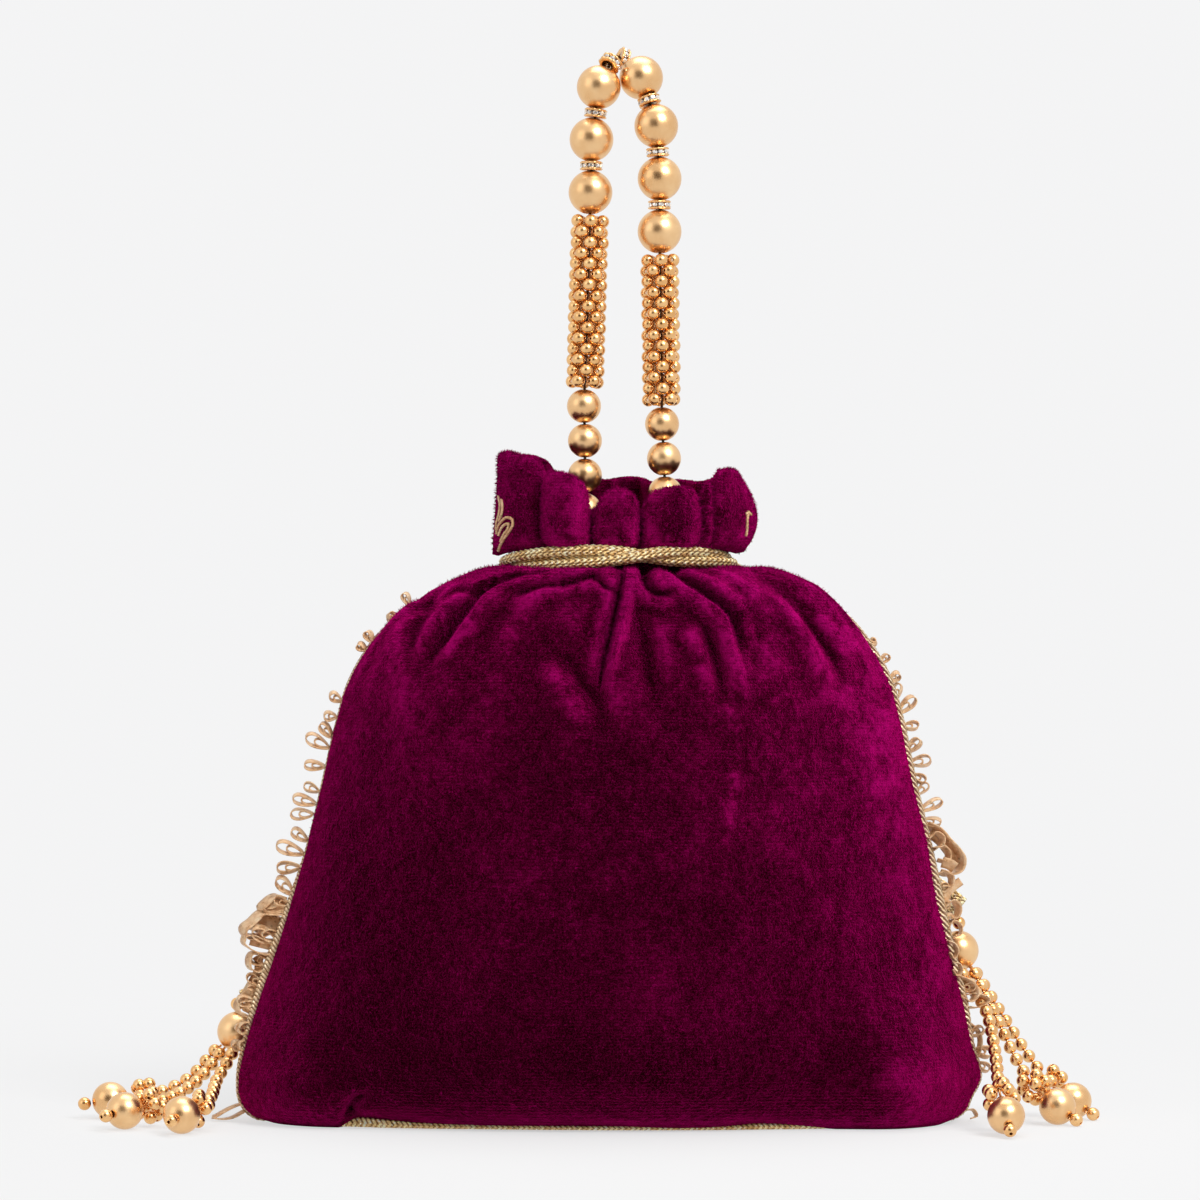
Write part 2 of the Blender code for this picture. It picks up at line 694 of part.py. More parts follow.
def build_drawstrings(cord_gold, pieces):
    lower = neck_bottom() + CORD_DIAMETER / 2 + GAP * 2
    wrap("drawstring_wrap_lower", lower, cord_gold, pieces)
    wrap("drawstring_wrap_upper", lower + CORD_DIAMETER + GAP, cord_gold, pieces)
    for side, route, tassel in (("left", LEFT_TAIL, LEFT_TASSEL), ("right", RIGHT_TAIL, RIGHT_TASSEL)):
        tail(f"drawstring_tail_{side}_a", route, 1, cord_gold, pieces, tassel)
        tail(f"drawstring_tail_{side}_b", route, -1, cord_gold, pieces, tassel)


def build_tassel(side, centre, routes, bead_gold, pieces):
    upright = Vector((0.0, 0.0, 1.0))
    bead(f"tassel_bead_{side}", TASSEL_BEAD, BIG_STEPS, centre, upright, bead_gold, pieces)
    collar = centre + upright * (TASSEL_BEAD / 2 + GAP + SMALL_BEAD / 2)
    bead(f"tassel_collar_{side}", SMALL_BEAD, SMALL_STEPS, collar, upright, bead_gold, pieces, SMALL_BEAD_HOLE)
    for number, points in enumerate(routes, 1):
        way = (Vector(points[0]) - centre).normalized()
        route = [centre + way * (TASSEL_BEAD / 2 + GAP), *points]
        string = bead_string(f"tassel_string_{side}_{number}", route, bead_gold, pieces)
        facing_out(string)
        end = Vector(route[-1])
        ahead = (end - Vector(route[-2])).normalized()
        bead(f"tassel_end_bead_{side}_{number}", END_BEAD, MIDDLE_STEPS, end, ahead, bead_gold, pieces)
        tip = end + ahead * (END_BEAD + SMALL_BEAD + 2 * GAP) / 2
        tip.z = max(tip.z, SMALL_BEAD / 2)
        bead(f"tassel_tip_{side}_{number}", SMALL_BEAD, SMALL_STEPS, tip, ahead, bead_gold, pieces, SMALL_BEAD_HOLE)


def build_string(side, placed, bead_gold, stone, pieces):
    counts = {}
    for kind, centre, axis in placed:
        counts[kind] = counts.get(kind, 0) + 1
        number = counts[kind]
        if kind == "middle":
            bead(f"middle_bead_{side}_{number}", MIDDLE_BEAD, MIDDLE_STEPS, centre, axis, bead_gold, pieces)
        elif kind == "big":
            bead(f"big_bead_{side}_{number}", BIG_BEAD, BIG_STEPS, centre, axis, bead_gold, pieces)
        elif kind == "rondelle":
            rondelle(f"rondelle_{side}_{number}", centre, axis, stone, pieces)
        else:
            rows = LEFT_TUBE_ROWS if kind == "left_tube" else RIGHT_TUBE_ROWS
            facing_out(bead_tube(f"bead_tube_{side}", rows, centre, axis, bead_gold, pieces))


def hinge_bead(aside, drop):
    """The centre of the bead that one side of the loop turns about."""
    return Vector((NECK_SHIFT + aside, 0.0, frill_bottom() + FRILL_HEIGHT - drop))


def build_handle(bead_gold, stone, thread_gold, pieces):
    left_hinge = hinge_bead(LEFT_HINGE_ASIDE, LEFT_HINGE_DROP)
    right_hinge = hinge_bead(RIGHT_HINGE_ASIDE, RIGHT_HINGE_DROP)
    left = strung(left_hinge, LEFT_STRING)
    right = over_the_top(strung(right_hinge, RIGHT_STRING), left[-1][1])
    build_string("left", left, bead_gold, stone, pieces)
    build_string("right", right, bead_gold, stone, pieces)
    line = thread_line(left) + list(reversed(thread_line(right)))
    cord("handle_thread", line, THREAD_DIAMETER, thread_gold, pieces)
    upright = Vector((0.0, 0.0, 1.0))
    for side, hinge in (("left", left_hinge), ("right", right_hinge)):
        below = hinge - upright * (MIDDLE_BEAD + GAP)
        bead(f"anchor_bead_{side}", MIDDLE_BEAD, MIDDLE_STEPS, below, upright, bead_gold, pieces)
        start = below + upright * (MIDDLE_BEAD / 2)
        bend = below - upright * ANCHOR_DROP
        wall = Vector((bend.x, -neck_inside(bend.x), bend.z - SMALL_BEAD / 2))
        route = [start, start.lerp(bend, 0.5), bend, bend.lerp(wall, 0.6), wall]
        cord(f"handle_anchor_{side}", route, THREAD_DIAMETER, thread_gold, pieces)


def neck_inside(x):
    """How far the back wall's inner side lies from the seam's plane at this x in the neck, less a stitch's gap."""
    neck = Station(neck_bottom(), NECK_HALF_WIDTH, NECK_HALF_DEPTH, NECK_SHIFT, PLEAT_DEPTH * 0.6)
    around = [ring_point(neck, math.pi * (1 + number / 200)) for number in range(201)]
    nearest = min(around, key=lambda point: abs(point.x - x))
    return -nearest.y - PANEL_THICKNESS - 2 * GAP


def shade_smooth():
    for obj in bpy.data.objects:
        if obj.type == "MESH" and not obj.hide_render:
            obj.data.shade_smooth()


def main():
    clear_scene()
    pieces = collection("potli bag")
    helpers = collection("cutters", hidden=True)
    velvet = material("velvet", (0.19, 0.004, 0.09), 0.85, 0.0)
    bead_gold = material("bead_gold", (0.86, 0.55, 0.26), 0.28, 1.0)
    cord_gold = material("cord_gold", (0.74, 0.56, 0.27), 0.42, 0.9)
    stone = material("stone_ring", (0.82, 0.74, 0.60), 0.15, 0.7)
    build_bag(velvet, cord_gold, pieces, helpers)
    build_drawstrings(cord_gold, pieces)
    build_handle(bead_gold, stone, cord_gold, pieces)
    build_tassel("left", LEFT_TASSEL, LEFT_STRINGS, bead_gold, pieces)
    build_tassel("right", RIGHT_TASSEL, RIGHT_STRINGS, bead_gold, pieces)
    shade_smooth()


main()
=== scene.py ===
"""Potli bag: the looks of a gathered velvet pouch with a braided seam, drawstrings with bead tassels and a
carrying loop of strung beads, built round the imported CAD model. Metres, +Z up, -Y is the side that the photo
shows."""

import math
import random

import bpy
import numpy as np
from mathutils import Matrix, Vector
from mathutils.bvhtree import BVHTree


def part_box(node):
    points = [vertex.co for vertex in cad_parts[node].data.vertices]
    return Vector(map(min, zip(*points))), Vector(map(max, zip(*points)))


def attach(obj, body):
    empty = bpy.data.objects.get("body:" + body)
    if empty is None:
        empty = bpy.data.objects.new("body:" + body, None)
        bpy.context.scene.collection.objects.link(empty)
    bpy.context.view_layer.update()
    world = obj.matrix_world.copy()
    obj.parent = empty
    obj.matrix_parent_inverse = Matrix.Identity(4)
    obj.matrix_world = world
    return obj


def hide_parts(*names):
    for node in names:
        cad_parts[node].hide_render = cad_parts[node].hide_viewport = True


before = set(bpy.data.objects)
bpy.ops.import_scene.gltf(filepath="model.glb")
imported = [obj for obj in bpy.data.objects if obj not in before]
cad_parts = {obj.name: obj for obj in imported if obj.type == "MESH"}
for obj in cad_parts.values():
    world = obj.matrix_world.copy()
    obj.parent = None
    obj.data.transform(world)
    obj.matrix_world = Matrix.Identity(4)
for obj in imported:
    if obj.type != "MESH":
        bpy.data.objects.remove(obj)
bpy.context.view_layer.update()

MM = 0.001
UP = Vector((0.0, 0.0, 1.0))
chance = random.Random(7)


# General helpers

def link(name, data):
    obj = bpy.data.objects.new(name, data)
    bpy.context.scene.collection.objects.link(obj)
    return obj


def smooth_through(knots, values, at):
    """Values at these places on a smooth curve through the given ones. Values may have several columns."""
    knots = np.asarray(knots, float)
    values = np.asarray(values, float)
    at = np.asarray(at, float)
    slopes = np.gradient(values, knots, axis=0)
    stretch = np.clip(np.searchsorted(knots, at, side="right") - 1, 0, len(knots) - 2)
    width = knots[stretch + 1] - knots[stretch]
    t = (at - knots[stretch]) / width
    if values.ndim == 2:
        t, width = t[:, None], width[:, None]
    low, high = values[stretch], values[stretch + 1]
    return ((2 * t ** 3 - 3 * t ** 2 + 1) * low + (t ** 3 - 2 * t ** 2 + t) * width * slopes[stretch]
            + (3 * t ** 2 - 2 * t ** 3) * high + (t ** 3 - t ** 2) * width * slopes[stretch + 1])


def smoothstep(low, high, at):
    t = np.clip((at - low) / (high - low), 0.0, 1.0)
    return t * t * (3 - 2 * t)


def unit(vectors):
    """The same vectors at length one. They lie along the last axis."""
    return vectors / np.maximum(np.linalg.norm(vectors, axis=-1), 1e-12)[..., None]


def turns(count):
    """This many angles, evenly round a circle."""
    return 2 * math.pi * np.arange(count) / count


def lengths_along(points):
    steps = np.linalg.norm(np.diff(points, axis=0), axis=1)
    return np.concatenate([[0.0], np.cumsum(steps)])


def resampled(points, spacing, closed=False):
    """The same smooth line with a point at each spacing, as an array."""
    points = np.asarray(points, float)
    if closed:
        points = np.vstack([points[-3:-1], points, points[1:3]])
    along = lengths_along(points)
    low, high = (along[2], along[-3]) if closed else (0.0, along[-1])
    count = max(2, int(round((high - low) / spacing)) + 1)
    return smooth_through(along, points, np.linspace(low, high, count))


def grid_faces(rows, columns, wrap_columns=False, wrap_rows=False):
    faces = []
    for row in range(rows if wrap_rows else rows - 1):
        here, after = row * columns, (row + 1) % rows * columns
        for column in range(columns if wrap_columns else columns - 1):
            beside = (column + 1) % columns
            faces.append((here + column, here + beside, after + beside, after + column))
    return faces


def capped_faces(rows, sides):
    """The faces of a tube, with one over each end."""
    last = (rows - 1) * sides
    return grid_faces(rows, sides, True) + [tuple(reversed(range(sides))), tuple(range(last, last + sides))]


def mesh_object(name, corners, faces, material, smooth=True):
    mesh = bpy.data.meshes.new(name)
    mesh.from_pydata([tuple(corner) for corner in corners], [], faces)
    mesh.validate()
    if smooth:
        mesh.shade_smooth()
    mesh.materials.append(material)
    return link(name, mesh)


def with_values(obj, name, values):
    """Keeps a number at each point for the material to read."""
    kept = obj.data.attributes.new(name, "FLOAT", "POINT")
    kept.data.foreach_set("value", np.asarray(values, np.float32).reshape(-1))
    return obj


def belonging(obj, body, node=None):
    """Gives a piece its body, and hides the CAD node that it stands for."""
    if node:
        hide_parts(node)
    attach(obj, body)
    return obj


class Builder:
    """Gathers many small closed forms into one mesh."""

    def __init__(self):
        self.corners = []
        self.faces = []

    def add(self, corners, faces):
        first = len(self.corners)
        self.corners += [tuple(corner) for corner in corners]
        self.faces += [tuple(first + index for index in face) for face in faces]

    def finish(self, name, material, smooth=True):
        return mesh_object(name, self.corners, self.faces, material, smooth)


def frames_along(points, closed=False):
    """The direction, and two across it, at each point of a line, without twist."""
    points = np.asarray(points, float)
    if closed:
        ahead = unit(np.roll(points, -1, axis=0) - np.roll(points, 1, axis=0))
    else:
        ahead = unit(np.gradient(points, axis=0))
    sides = np.zeros_like(ahead)
    side = np.cross(ahead[0], (0.0, 0.0, 1.0))
    if np.linalg.norm(side) < 0.1:
        side = np.cross(ahead[0], (0.0, 1.0, 0.0))
    for number, way in enumerate(ahead):
        side = unit(side - way * np.dot(side, way))
        sides[number] = side
    if closed:
        twist = math.atan2(np.dot(np.cross(sides[-1], sides[0]), ahead[0]), np.dot(sides[-1], sides[0]))
        share = np.linspace(0.0, twist, len(points))[:, None]
        sides = sides * np.cos(share) + np.cross(ahead, sides) * np.sin(share)
    return ahead, sides, np.cross(sides, ahead)


def tube(points, radii, sides, closed=False):
    """Corners and faces of a tube along the points. Radii is one number, or an array of points by sides."""
    points = np.asarray(points, float)
    _, aside, above = frames_along(points, closed)
    angles = turns(sides)
    radii = np.broadcast_to(np.asarray(radii, float), (len(points), sides))
    corners = (points[:, None, :]
               + (radii * np.cos(angles))[:, :, None] * aside[:, None, :]
               + (radii * np.sin(angles))[:, :, None] * above[:, None, :]).reshape(-1, 3)
    faces = grid_faces(len(points), sides, True, True) if closed else capped_faces(len(points), sides)
    return corners, faces


# Camera

def build_camera():
    camera = link("camera", bpy.data.cameras.new("camera"))
    camera.data.sensor_width = 36.0
    camera.data.lens = 147.0
    camera.data.clip_end = 60.0
    camera.location = (-0.0033, -1.4, 0.149)
    camera.rotation_euler = (math.pi / 2, 0.0, 0.0)
    bpy.context.scene.camera = camera


build_camera()


# Materials

BLACK = (0.0, 0.0, 0.0)
WHITE = (1.0, 1.0, 1.0)


class Shader:
    """Short ways to build one node material."""

    def __init__(self, name, **values):
        self.material = bpy.data.materials.new(name)
        self.material.use_nodes = True
        self.tree = self.material.node_tree
        self.principled = self.tree.nodes["Principled BSDF"]
        self.place = self.node("ShaderNodeTexCoord").outputs["Object"]
        for key, value in values.items():
            self.principled.inputs[key.replace("_", " ")].default_value = value

    def feed(self, socket, value):
        """Joins a socket to another one, or gives it a plain value."""
        if isinstance(value, bpy.types.NodeSocket):
            self.tree.links.new(value, socket)
        else:
            socket.default_value = value

    def node(self, kind, sockets=(), **settings):
        made = self.tree.nodes.new(kind)
        for key, value in settings.items():
            setattr(made, key, value)
        for key, value in dict(sockets).items():
            self.feed(made.inputs[key], value)
        return made

    def noise(self, scale, detail, rough, distortion=0.0):
        return self.node("ShaderNodeTexNoise", {"Vector": self.place, "Scale": scale, "Detail": detail,
                                                "Roughness": rough, "Distortion": distortion}).outputs["Fac"]

    def wave(self, scale, direction, distortion, detail):
        return self.node("ShaderNodeTexWave", {"Vector": self.place, "Scale": scale, "Distortion": distortion,
                                               "Detail": detail}, bands_direction=direction).outputs["Fac"]

    def cells(self, scale):
        return self.node("ShaderNodeTexVoronoi", {"Vector": self.place, "Scale": scale}).outputs["Distance"]

    def attribute(self, name):
        return self.node("ShaderNodeAttribute", attribute_name=name).outputs["Fac"]

    def ramp(self, source, *stops):
        made = self.node("ShaderNodeValToRGB", {"Fac": source})
        elements = made.color_ramp.elements
        while len(elements) < len(stops):
            elements.new(0.5)
        for element, (position, colour) in zip(elements, stops):
            element.position = position
            element.color = (*colour, 1.0)
        return made.outputs["Color"]

    def mask(self, source, low, high):
        """A ramp from black at low to white at high. Low may be above high."""
        return self.ramp(source, *sorted([(low, BLACK), (high, WHITE)]))

    def span(self, source, low, high, from_low=0.0, from_high=1.0):
        return self.node("ShaderNodeMapRange", {"Value": source, "From Min": from_low, "From Max": from_high,
                                                "To Min": low, "To Max": high}).outputs["Result"]

    def maths(self, operation, total, *others):
        """One operation on all of these in turn."""
        for other in others:
            total = self.node("ShaderNodeMath", {0: total, 1: other}, operation=operation).outputs["Value"]
        return total

    def blend(self, one, other, share):
        """Share of one and the rest of the other."""
        return self.maths("ADD", self.maths("MULTIPLY", one, share),
                          self.maths("MULTIPLY", other, 1.0 - share))

    def mixed(self, share, one, other, blend="MIX"):
        made = self.node("ShaderNodeMix", data_type="RGBA", blend_type=blend)
        sockets = {item.identifier: item for item in [*made.inputs, *made.outputs]}
        for name, value in (("Factor_Float", share), ("A_Color", one), ("B_Color", other)):
            self.feed(sockets[name], (*value, 1.0) if isinstance(value, tuple) else value)
        return sockets["Result_Color"]

    def bump(self, height, distance, strength, under=None):
        made = self.node("ShaderNodeBump", {"Height": height, "Distance": distance, "Strength": strength})
        if under is not None:
            self.feed(made.inputs["Normal"], under)
        return made.outputs["Normal"]

    def finished(self, colour, roughness, normal=None):
        """The material, with these joined to its shader."""
        for name, source in (("Base Color", colour), ("Roughness", roughness), ("Normal", normal)):
            if source is not None:
                self.feed(self.principled.inputs[name], source)
        return self.material


PLUM_SHEEN = (1.0, 0.006, 0.27, 1.0)


def velvet_material():
    """Plum silk velvet: a dark plum colour with painted sheen that turns it magenta where the surface
    is seen from its side, painted highlights on ridges, painted shade in creases, patches where the pile
    shows brush marks, marks on the visible wall that are partly brush marks and partly painted light
    and shade, faint rows of pile and a little lint."""
    made = Shader("plum velvet", Metallic=0.0, Specular_IOR_Level=0.0,
                  Sheen_Weight=0.78, Sheen_Roughness=0.33, Sheen_Tint=PLUM_SHEEN)
    patches = made.noise(26.0, 5.0, 0.62, 0.5)
    mottles = made.noise(120.0, 5.0, 0.68, 0.4)
    grain = made.noise(2600.0, 2.0, 0.6)
    rows = made.wave(340.0, "Z", 2.6, 2.0)
    brushed = made.blend(patches, mottles, 0.5)
    pile = made.blend(made.noise(560.0, 4.0, 0.7), grain, 0.6)
    lay = made.bump(brushed, 0.0050, 0.85)
    surface = made.bump(grain, 0.00035, 0.8, made.bump(pile, 0.0011, 0.8, made.bump(rows, 0.00022, 0.5, lay)))
    # Painted sheen: how far the surface is seen from its side, which lightens the colour below.
    facing = made.node("ShaderNodeLayerWeight", {"Blend": 0.5, "Normal": surface}).outputs["Facing"]
    # Painted highlights on ridges and painted shade in hollows, with the marks on the visible wall, partly
    # brush marks and partly painted light and shade, broken up by the mottles.
    marked_lay_and_painted_light = made.maths("MULTIPLY", made.attribute("brushed"), made.span(mottles, 0.15, 1.55, 0.36, 0.62))
    # Painted sheen glints in the pile, stronger where the surface is seen from its side.
    painted_sheen_speckle = made.maths("MULTIPLY", made.span(pile, -0.14, 0.16, 0.36, 0.64),
                         made.span(facing, 0.85, 3.2, 0.15, 0.75))
    # How light the colour is: random tone and rows of pile, with the painted sheen, glints, highlights and
    # shade added in.
    bright = made.maths("ADD", made.maths("MULTIPLY", facing, 0.66),
                        made.span(brushed, -0.15, 0.26, 0.38, 0.66), marked_lay_and_painted_light, painted_sheen_speckle,
                        made.span(rows, -0.06, 0.06))
    colour_with_painted_light = made.ramp(bright, (0.02, (0.012, 0.0, 0.0019)), (0.20, (0.042, 0.0, 0.0076)),
                       (0.45, (0.135, 0.0, 0.034)), (0.95, (0.50, 0.003, 0.170)))
    # Painted shade in creases and hollows, darker where the cloth closes in round a point.
    occlusion_for_painted_shade = made.node("ShaderNodeAmbientOcclusion", {"Distance": 0.009}, samples=6, only_local=True)
    painted_valley_shade = made.ramp(occlusion_for_painted_shade.outputs["AO"], (0.30, (0.06, 0.06, 0.06)), (0.82, WHITE))
    shaded = made.mixed(1.0, colour_with_painted_light, painted_valley_shade, "MULTIPLY")
    lint = made.maths("MULTIPLY", made.mask(made.cells(70.0), 0.022, 0.0),
                      made.mask(made.noise(33.0, 1.0, 0.4), 0.60, 0.66), 0.55)
    return made.finished(made.mixed(lint, shaded, (0.45, 0.12, 0.20)), made.span(patches, 0.70, 0.98),
                         surface)


def pile_material():
    """Loose ends of the pile, lighter at random."""
    made = Shader("velvet pile", Metallic=0.0, Specular_IOR_Level=0.0,
                  Sheen_Weight=0.6, Sheen_Roughness=0.4, Sheen_Tint=PLUM_SHEEN)
    tone = made.noise(700.0, 3.0, 0.7)
    return made.finished(made.ramp(tone, (0.32, (0.075, 0.0, 0.019)), (0.68, (0.50, 0.002, 0.165))),
                         made.span(tone, 0.6, 0.9))


def bead_material():
    """Satin gold-plated bead, a little worn and uneven."""
    made = Shader("satin gold bead", Metallic=1.0)
    cloud = made.noise(130.0, 3.0, 0.55)
    grain = made.noise(2600.0, 2.0, 0.5)
    return made.finished(made.ramp(cloud, (0.32, (0.80, 0.47, 0.215)), (0.68, (0.93, 0.62, 0.325))),
                         made.span(cloud, 0.25, 0.36, 0.3, 0.7),
                         made.bump(grain, 0.00005, 0.35, made.bump(cloud, 0.0007, 0.14)))


def small_bead_material():
    """Brighter plated gold of the small beads."""
    made = Shader("bright gold bead", Metallic=1.0)
    cloud = made.noise(260.0, 2.0, 0.5)
    return made.finished(made.ramp(cloud, (0.30, (0.78, 0.42, 0.16)), (0.70, (0.95, 0.60, 0.28))),
                         made.span(cloud, 0.19, 0.30, 0.3, 0.7),
                         made.bump(made.noise(1500.0, 2.0, 0.5), 0.00005, 0.3))


def cord_material():
    """Metallic gold yarn: a painted highlight on the stitches, painted brown shade between them, and
    painted glints.
    """
    made = Shader("gold cord", Metallic=0.62)
    tone = made.noise(420.0, 2.0, 0.6)
    yarn = made.ramp(tone, (0.30, (0.62, 0.38, 0.14)), (0.50, (0.93, 0.66, 0.31)), (0.70, (1.0, 0.88, 0.58)))
    # Painted glints: near-white specks on the yarn.
    yarn_with_painted_glints = made.mixed(made.mask(made.cells(1100.0), 0.36, 0.14), yarn, (1.0, 0.96, 0.82))
    # Painted shade in the valleys between the stitches and a painted highlight on their ridges, from the
    # cord's relief.
    painted_valley_shade = made.ramp(made.attribute("relief"), (0.12, (0.09, 0.045, 0.015)), (0.46, (0.62, 0.50, 0.37)),
                     (0.74, (1.25, 1.25, 1.25)))
    return made.finished(made.mixed(1.0, yarn_with_painted_glints, painted_valley_shade, "MULTIPLY"), made.span(tone, 0.18, 0.36, 0.3, 0.7),
                         made.bump(made.wave(1500.0, "DIAGONAL", 2.0, 2.0), 0.00016, 0.6))


def ribbon_material():
    """Pale woven metal ribbon: cream on its face, with fine bright and brown yarns."""
    made = Shader("gold ribbon", Metallic=0.22)
    tone = made.noise(420.0, 3.0, 0.6)
    yarns = made.maths("MULTIPLY", made.wave(900.0, "X", 1.0, 1.0), made.wave(900.0, "Z", 1.0, 1.0))
    face = made.ramp(tone, (0.30, (0.66, 0.37, 0.18)), (0.50, (0.93, 0.64, 0.39)), (0.72, (1.0, 0.82, 0.60)))
    weave = made.ramp(yarns, (0.0, (0.70, 0.60, 0.48)), (0.6, (1.15, 1.13, 1.10)))
    dots = made.maths("MULTIPLY", made.mask(made.cells(520.0), 0.24, 0.16), 0.6)
    return made.finished(made.mixed(dots, made.mixed(1.0, face, weave, "MULTIPLY"), (0.30, 0.17, 0.06)),
                         made.span(tone, 0.26, 0.46, 0.3, 0.7),
                         made.bump(made.noise(1500.0, 2.0, 0.6), 0.00012, 0.6,
                                   made.bump(yarns, 0.00012, 0.6)))


def braid_material():
    """The flat seam braid: pale gold stitches with painted brown shade in the valleys between them."""
    made = Shader("stitched gold braid", Metallic=0.30)
    stitch = made.wave(420.0, "DIAGONAL", 2.5, 2.0)
    tone = made.noise(900.0, 3.0, 0.6)
    pale = made.ramp(tone, (0.30, (0.76, 0.51, 0.27)), (0.70, (1.0, 0.83, 0.58)))
    # Painted shade in the valleys between the stitches, where the bump is low.
    painted_valley_shade = made.ramp(stitch, (0.08, (0.33, 0.22, 0.13)), (0.42, WHITE))
    return made.finished(made.mixed(1.0, pale, painted_valley_shade, "MULTIPLY"), made.span(tone, 0.24, 0.42, 0.3, 0.7),
                         made.bump(stitch, 0.0005, 0.8))


def stone_material():
    """Clear cut glass over a silvered back."""
    made = Shader("clear stone", Metallic=0.72, Coat_Weight=1.0, Coat_Roughness=0.02)
    tone = made.noise(900.0, 1.0, 0.5)
    return made.finished(made.ramp(tone, (0.35, (0.62, 0.60, 0.58)), (0.65, (0.98, 0.97, 0.95))),
                         made.span(made.noise(700.0, 1.0, 0.5), 0.03, 0.12))


VELVET = velvet_material()
PILE = pile_material()
BEAD_GOLD = bead_material()
SMALL_GOLD = small_bead_material()
CORD_GOLD = cord_material()
RIBBON_GOLD = ribbon_material()
BRAID_GOLD = braid_material()
STONE = stone_material()


# Sizes that the CAD part also has, and how deep the stitches of a cord cut into it

GAP = 0.3 * MM
CORD_DIAMETER = 3.4 * MM
TASSEL_BEAD = 11.5 * MM
SMALL_BEAD = 3.8 * MM
END_BEAD = 10.5 * MM
CORD_RIDGE = 0.30


# Drawstring: braided cords

def braided(name, points, diameter, closed=False):
    """A tube whose surface shows rows of slanting stitches, V beside V, with the highest ridge at the full
    diameter."""
    around, wales, step, pitch = 30, 6, 0.26 * MM, 1.9 * MM
    line = resampled(points, step, closed)
    if closed:
        line = line[:-1]
    along = np.linspace(0.0, lengths_along(line)[-1], len(line))[:, None]
    stitches = round(along[-1, 0] / pitch)
    slant = np.abs((np.arange(around)[None, :] / around * wales / 2 + 0.25) % 1.0 * 2 - 1)
    wale = np.abs(slant * 2 % 1.0 * 2 - 1)
    stitch = np.abs(np.cos(math.pi * (along / along[-1, 0] * stitches + slant * 1.5))) ** 0.9
    ridge = stitch * (1.0 - 0.65 * wale ** 3)
    corners, faces = tube(line, diameter / 2 * (1 - CORD_RIDGE + CORD_RIDGE * ridge), around, closed)
    # The relief goes to the cord's material, which paints shade in the valleys and a highlight on the ridges.
    return with_values(mesh_object(name, corners, faces, CORD_GOLD), "relief", ridge)


# The body's levels as in the part: height, half width, half depth, sideways shift, depth of the pleats
STATIONS = np.array([
    (0.0110, 0.1062, 0.0345, 0.0, 0.0),
    (0.0460, 0.0968, 0.0378, 0.0, 0.0),
    (0.0980, 0.0844, 0.0340, 0.0016, 0.00026),
    (0.1376, 0.0696, 0.0280, 0.0020, 0.00126),
    (0.1565, 0.0412, 0.0245, 0.0045, 0.0021),
])
LEFT_TAIL = [(128, .1590), (133, .1480), (139, .1300), (145, .1060), (150, .0800), (152, .0520)]
RIGHT_TAIL = [(52, .1590), (46, .1500), (40, .1340), (34, .1140), (29, .0950), (25, .0740)]
LEFT_TASSEL = Vector((-0.1080, 0.0140, 0.0245))
RIGHT_TASSEL = Vector((0.1003, 0.0150, 0.0478))
TAIL_DROP = 4.5 * MM
TAIL_DROP_LEAN = 1.2
NECK_TUCK = 6.0 * MM
# The left tail comes to the side of its collar: how far under the collar's top, and where it bends
# before that
FOOT_BELOW = 1.2 * MM
BEND_INWARD = 5.5 * MM
BEND_ABOVE = 3.0 * MM


def between(a, b, c, d, t):
    """Share t of the way from b to c on the smooth curve through the four, as the part's source reads it."""
    return 0.5 * (2 * b + (c - a) * t + (2 * a - 5 * b + 4 * c - d) * t ** 2
                  + (3 * b - a - 3 * c + d) * t ** 3)


def through(points, steps):
    """Points of the smooth curve through the given ones, with this many to a stretch."""
    points = [Vector(point) for point in points]
    ends = [points[0] * 2 - points[1], *points, points[-1] * 2 - points[-2]]
    return [between(*four, step / steps) for four in zip(ends, ends[1:], ends[2:], ends[3:])
            for step in range(steps)] + [points[-1]]


def body_levels(steps):
    """The stations, with smooth steps between each two."""
    padded = np.vstack([STATIONS[:1], STATIONS, STATIONS[-1:]])
    return np.array([between(*padded[row:row + 4], step / steps) for row in range(len(STATIONS) - 1)
                     for step in range(steps)] + [STATIONS[-1]])


LEVELS = body_levels(8)


def on_body(degrees, height, offset):
    """The point this far outside the solid body at this angle round it, with the outward direction."""
    levels, *columns = LEVELS.T
    half_width, half_depth, shift, pleat = (np.interp(height, levels, column) for column in columns)
    angle = math.radians(degrees)
    out = Vector((math.cos(angle) / half_width, math.sin(angle) / half_depth, 0.0)).normalized()
    surface = Vector((shift + half_width * math.cos(angle), half_depth * math.sin(angle), height))
    return surface + out * (offset + pleat), out


def tail_route(route, sideways, tassel):
    """The middle line of one of the two cords of a tail, from the neck down to the tassel's collar."""
    apart = (CORD_DIAMETER + 3 * GAP) / 2 * sideways
    middle = [on_body(degrees, height, CORD_DIAMETER / 2 + GAP * 3) for degrees, height in route]
    collar = tassel + UP * (TASSEL_BEAD / 2 + GAP + SMALL_BEAD)
    inward = Vector((-math.copysign(1.0, tassel.x), 0.0, 0.0))
    last_out = middle[-1][1]
    if tassel.x < 0:
        foot = collar - UP * FOOT_BELOW + inward * (SMALL_BEAD / 2 + GAP)
        middle += [(foot + inward * BEND_INWARD + UP * BEND_ABOVE, last_out), (foot, last_out)]
    else:
        rise = UP * (GAP + CORD_DIAMETER / 2 * TAIL_DROP_LEAN)
        drop = inward * TAIL_DROP_LEAN * TAIL_DROP + UP * TAIL_DROP
        middle += [(collar + rise + drop, last_out), (collar + rise, last_out)]
    points = []
    for number, (point, out) in enumerate(middle):
        ahead = middle[min(number + 1, len(middle) - 1)][0] - middle[max(number - 1, 0)][0]
        points.append(point + out.cross(ahead.normalized()).normalized() * apart)
    points.insert(0, points[0] - middle[0][1] * NECK_TUCK)
    return np.array(through(points, 6))


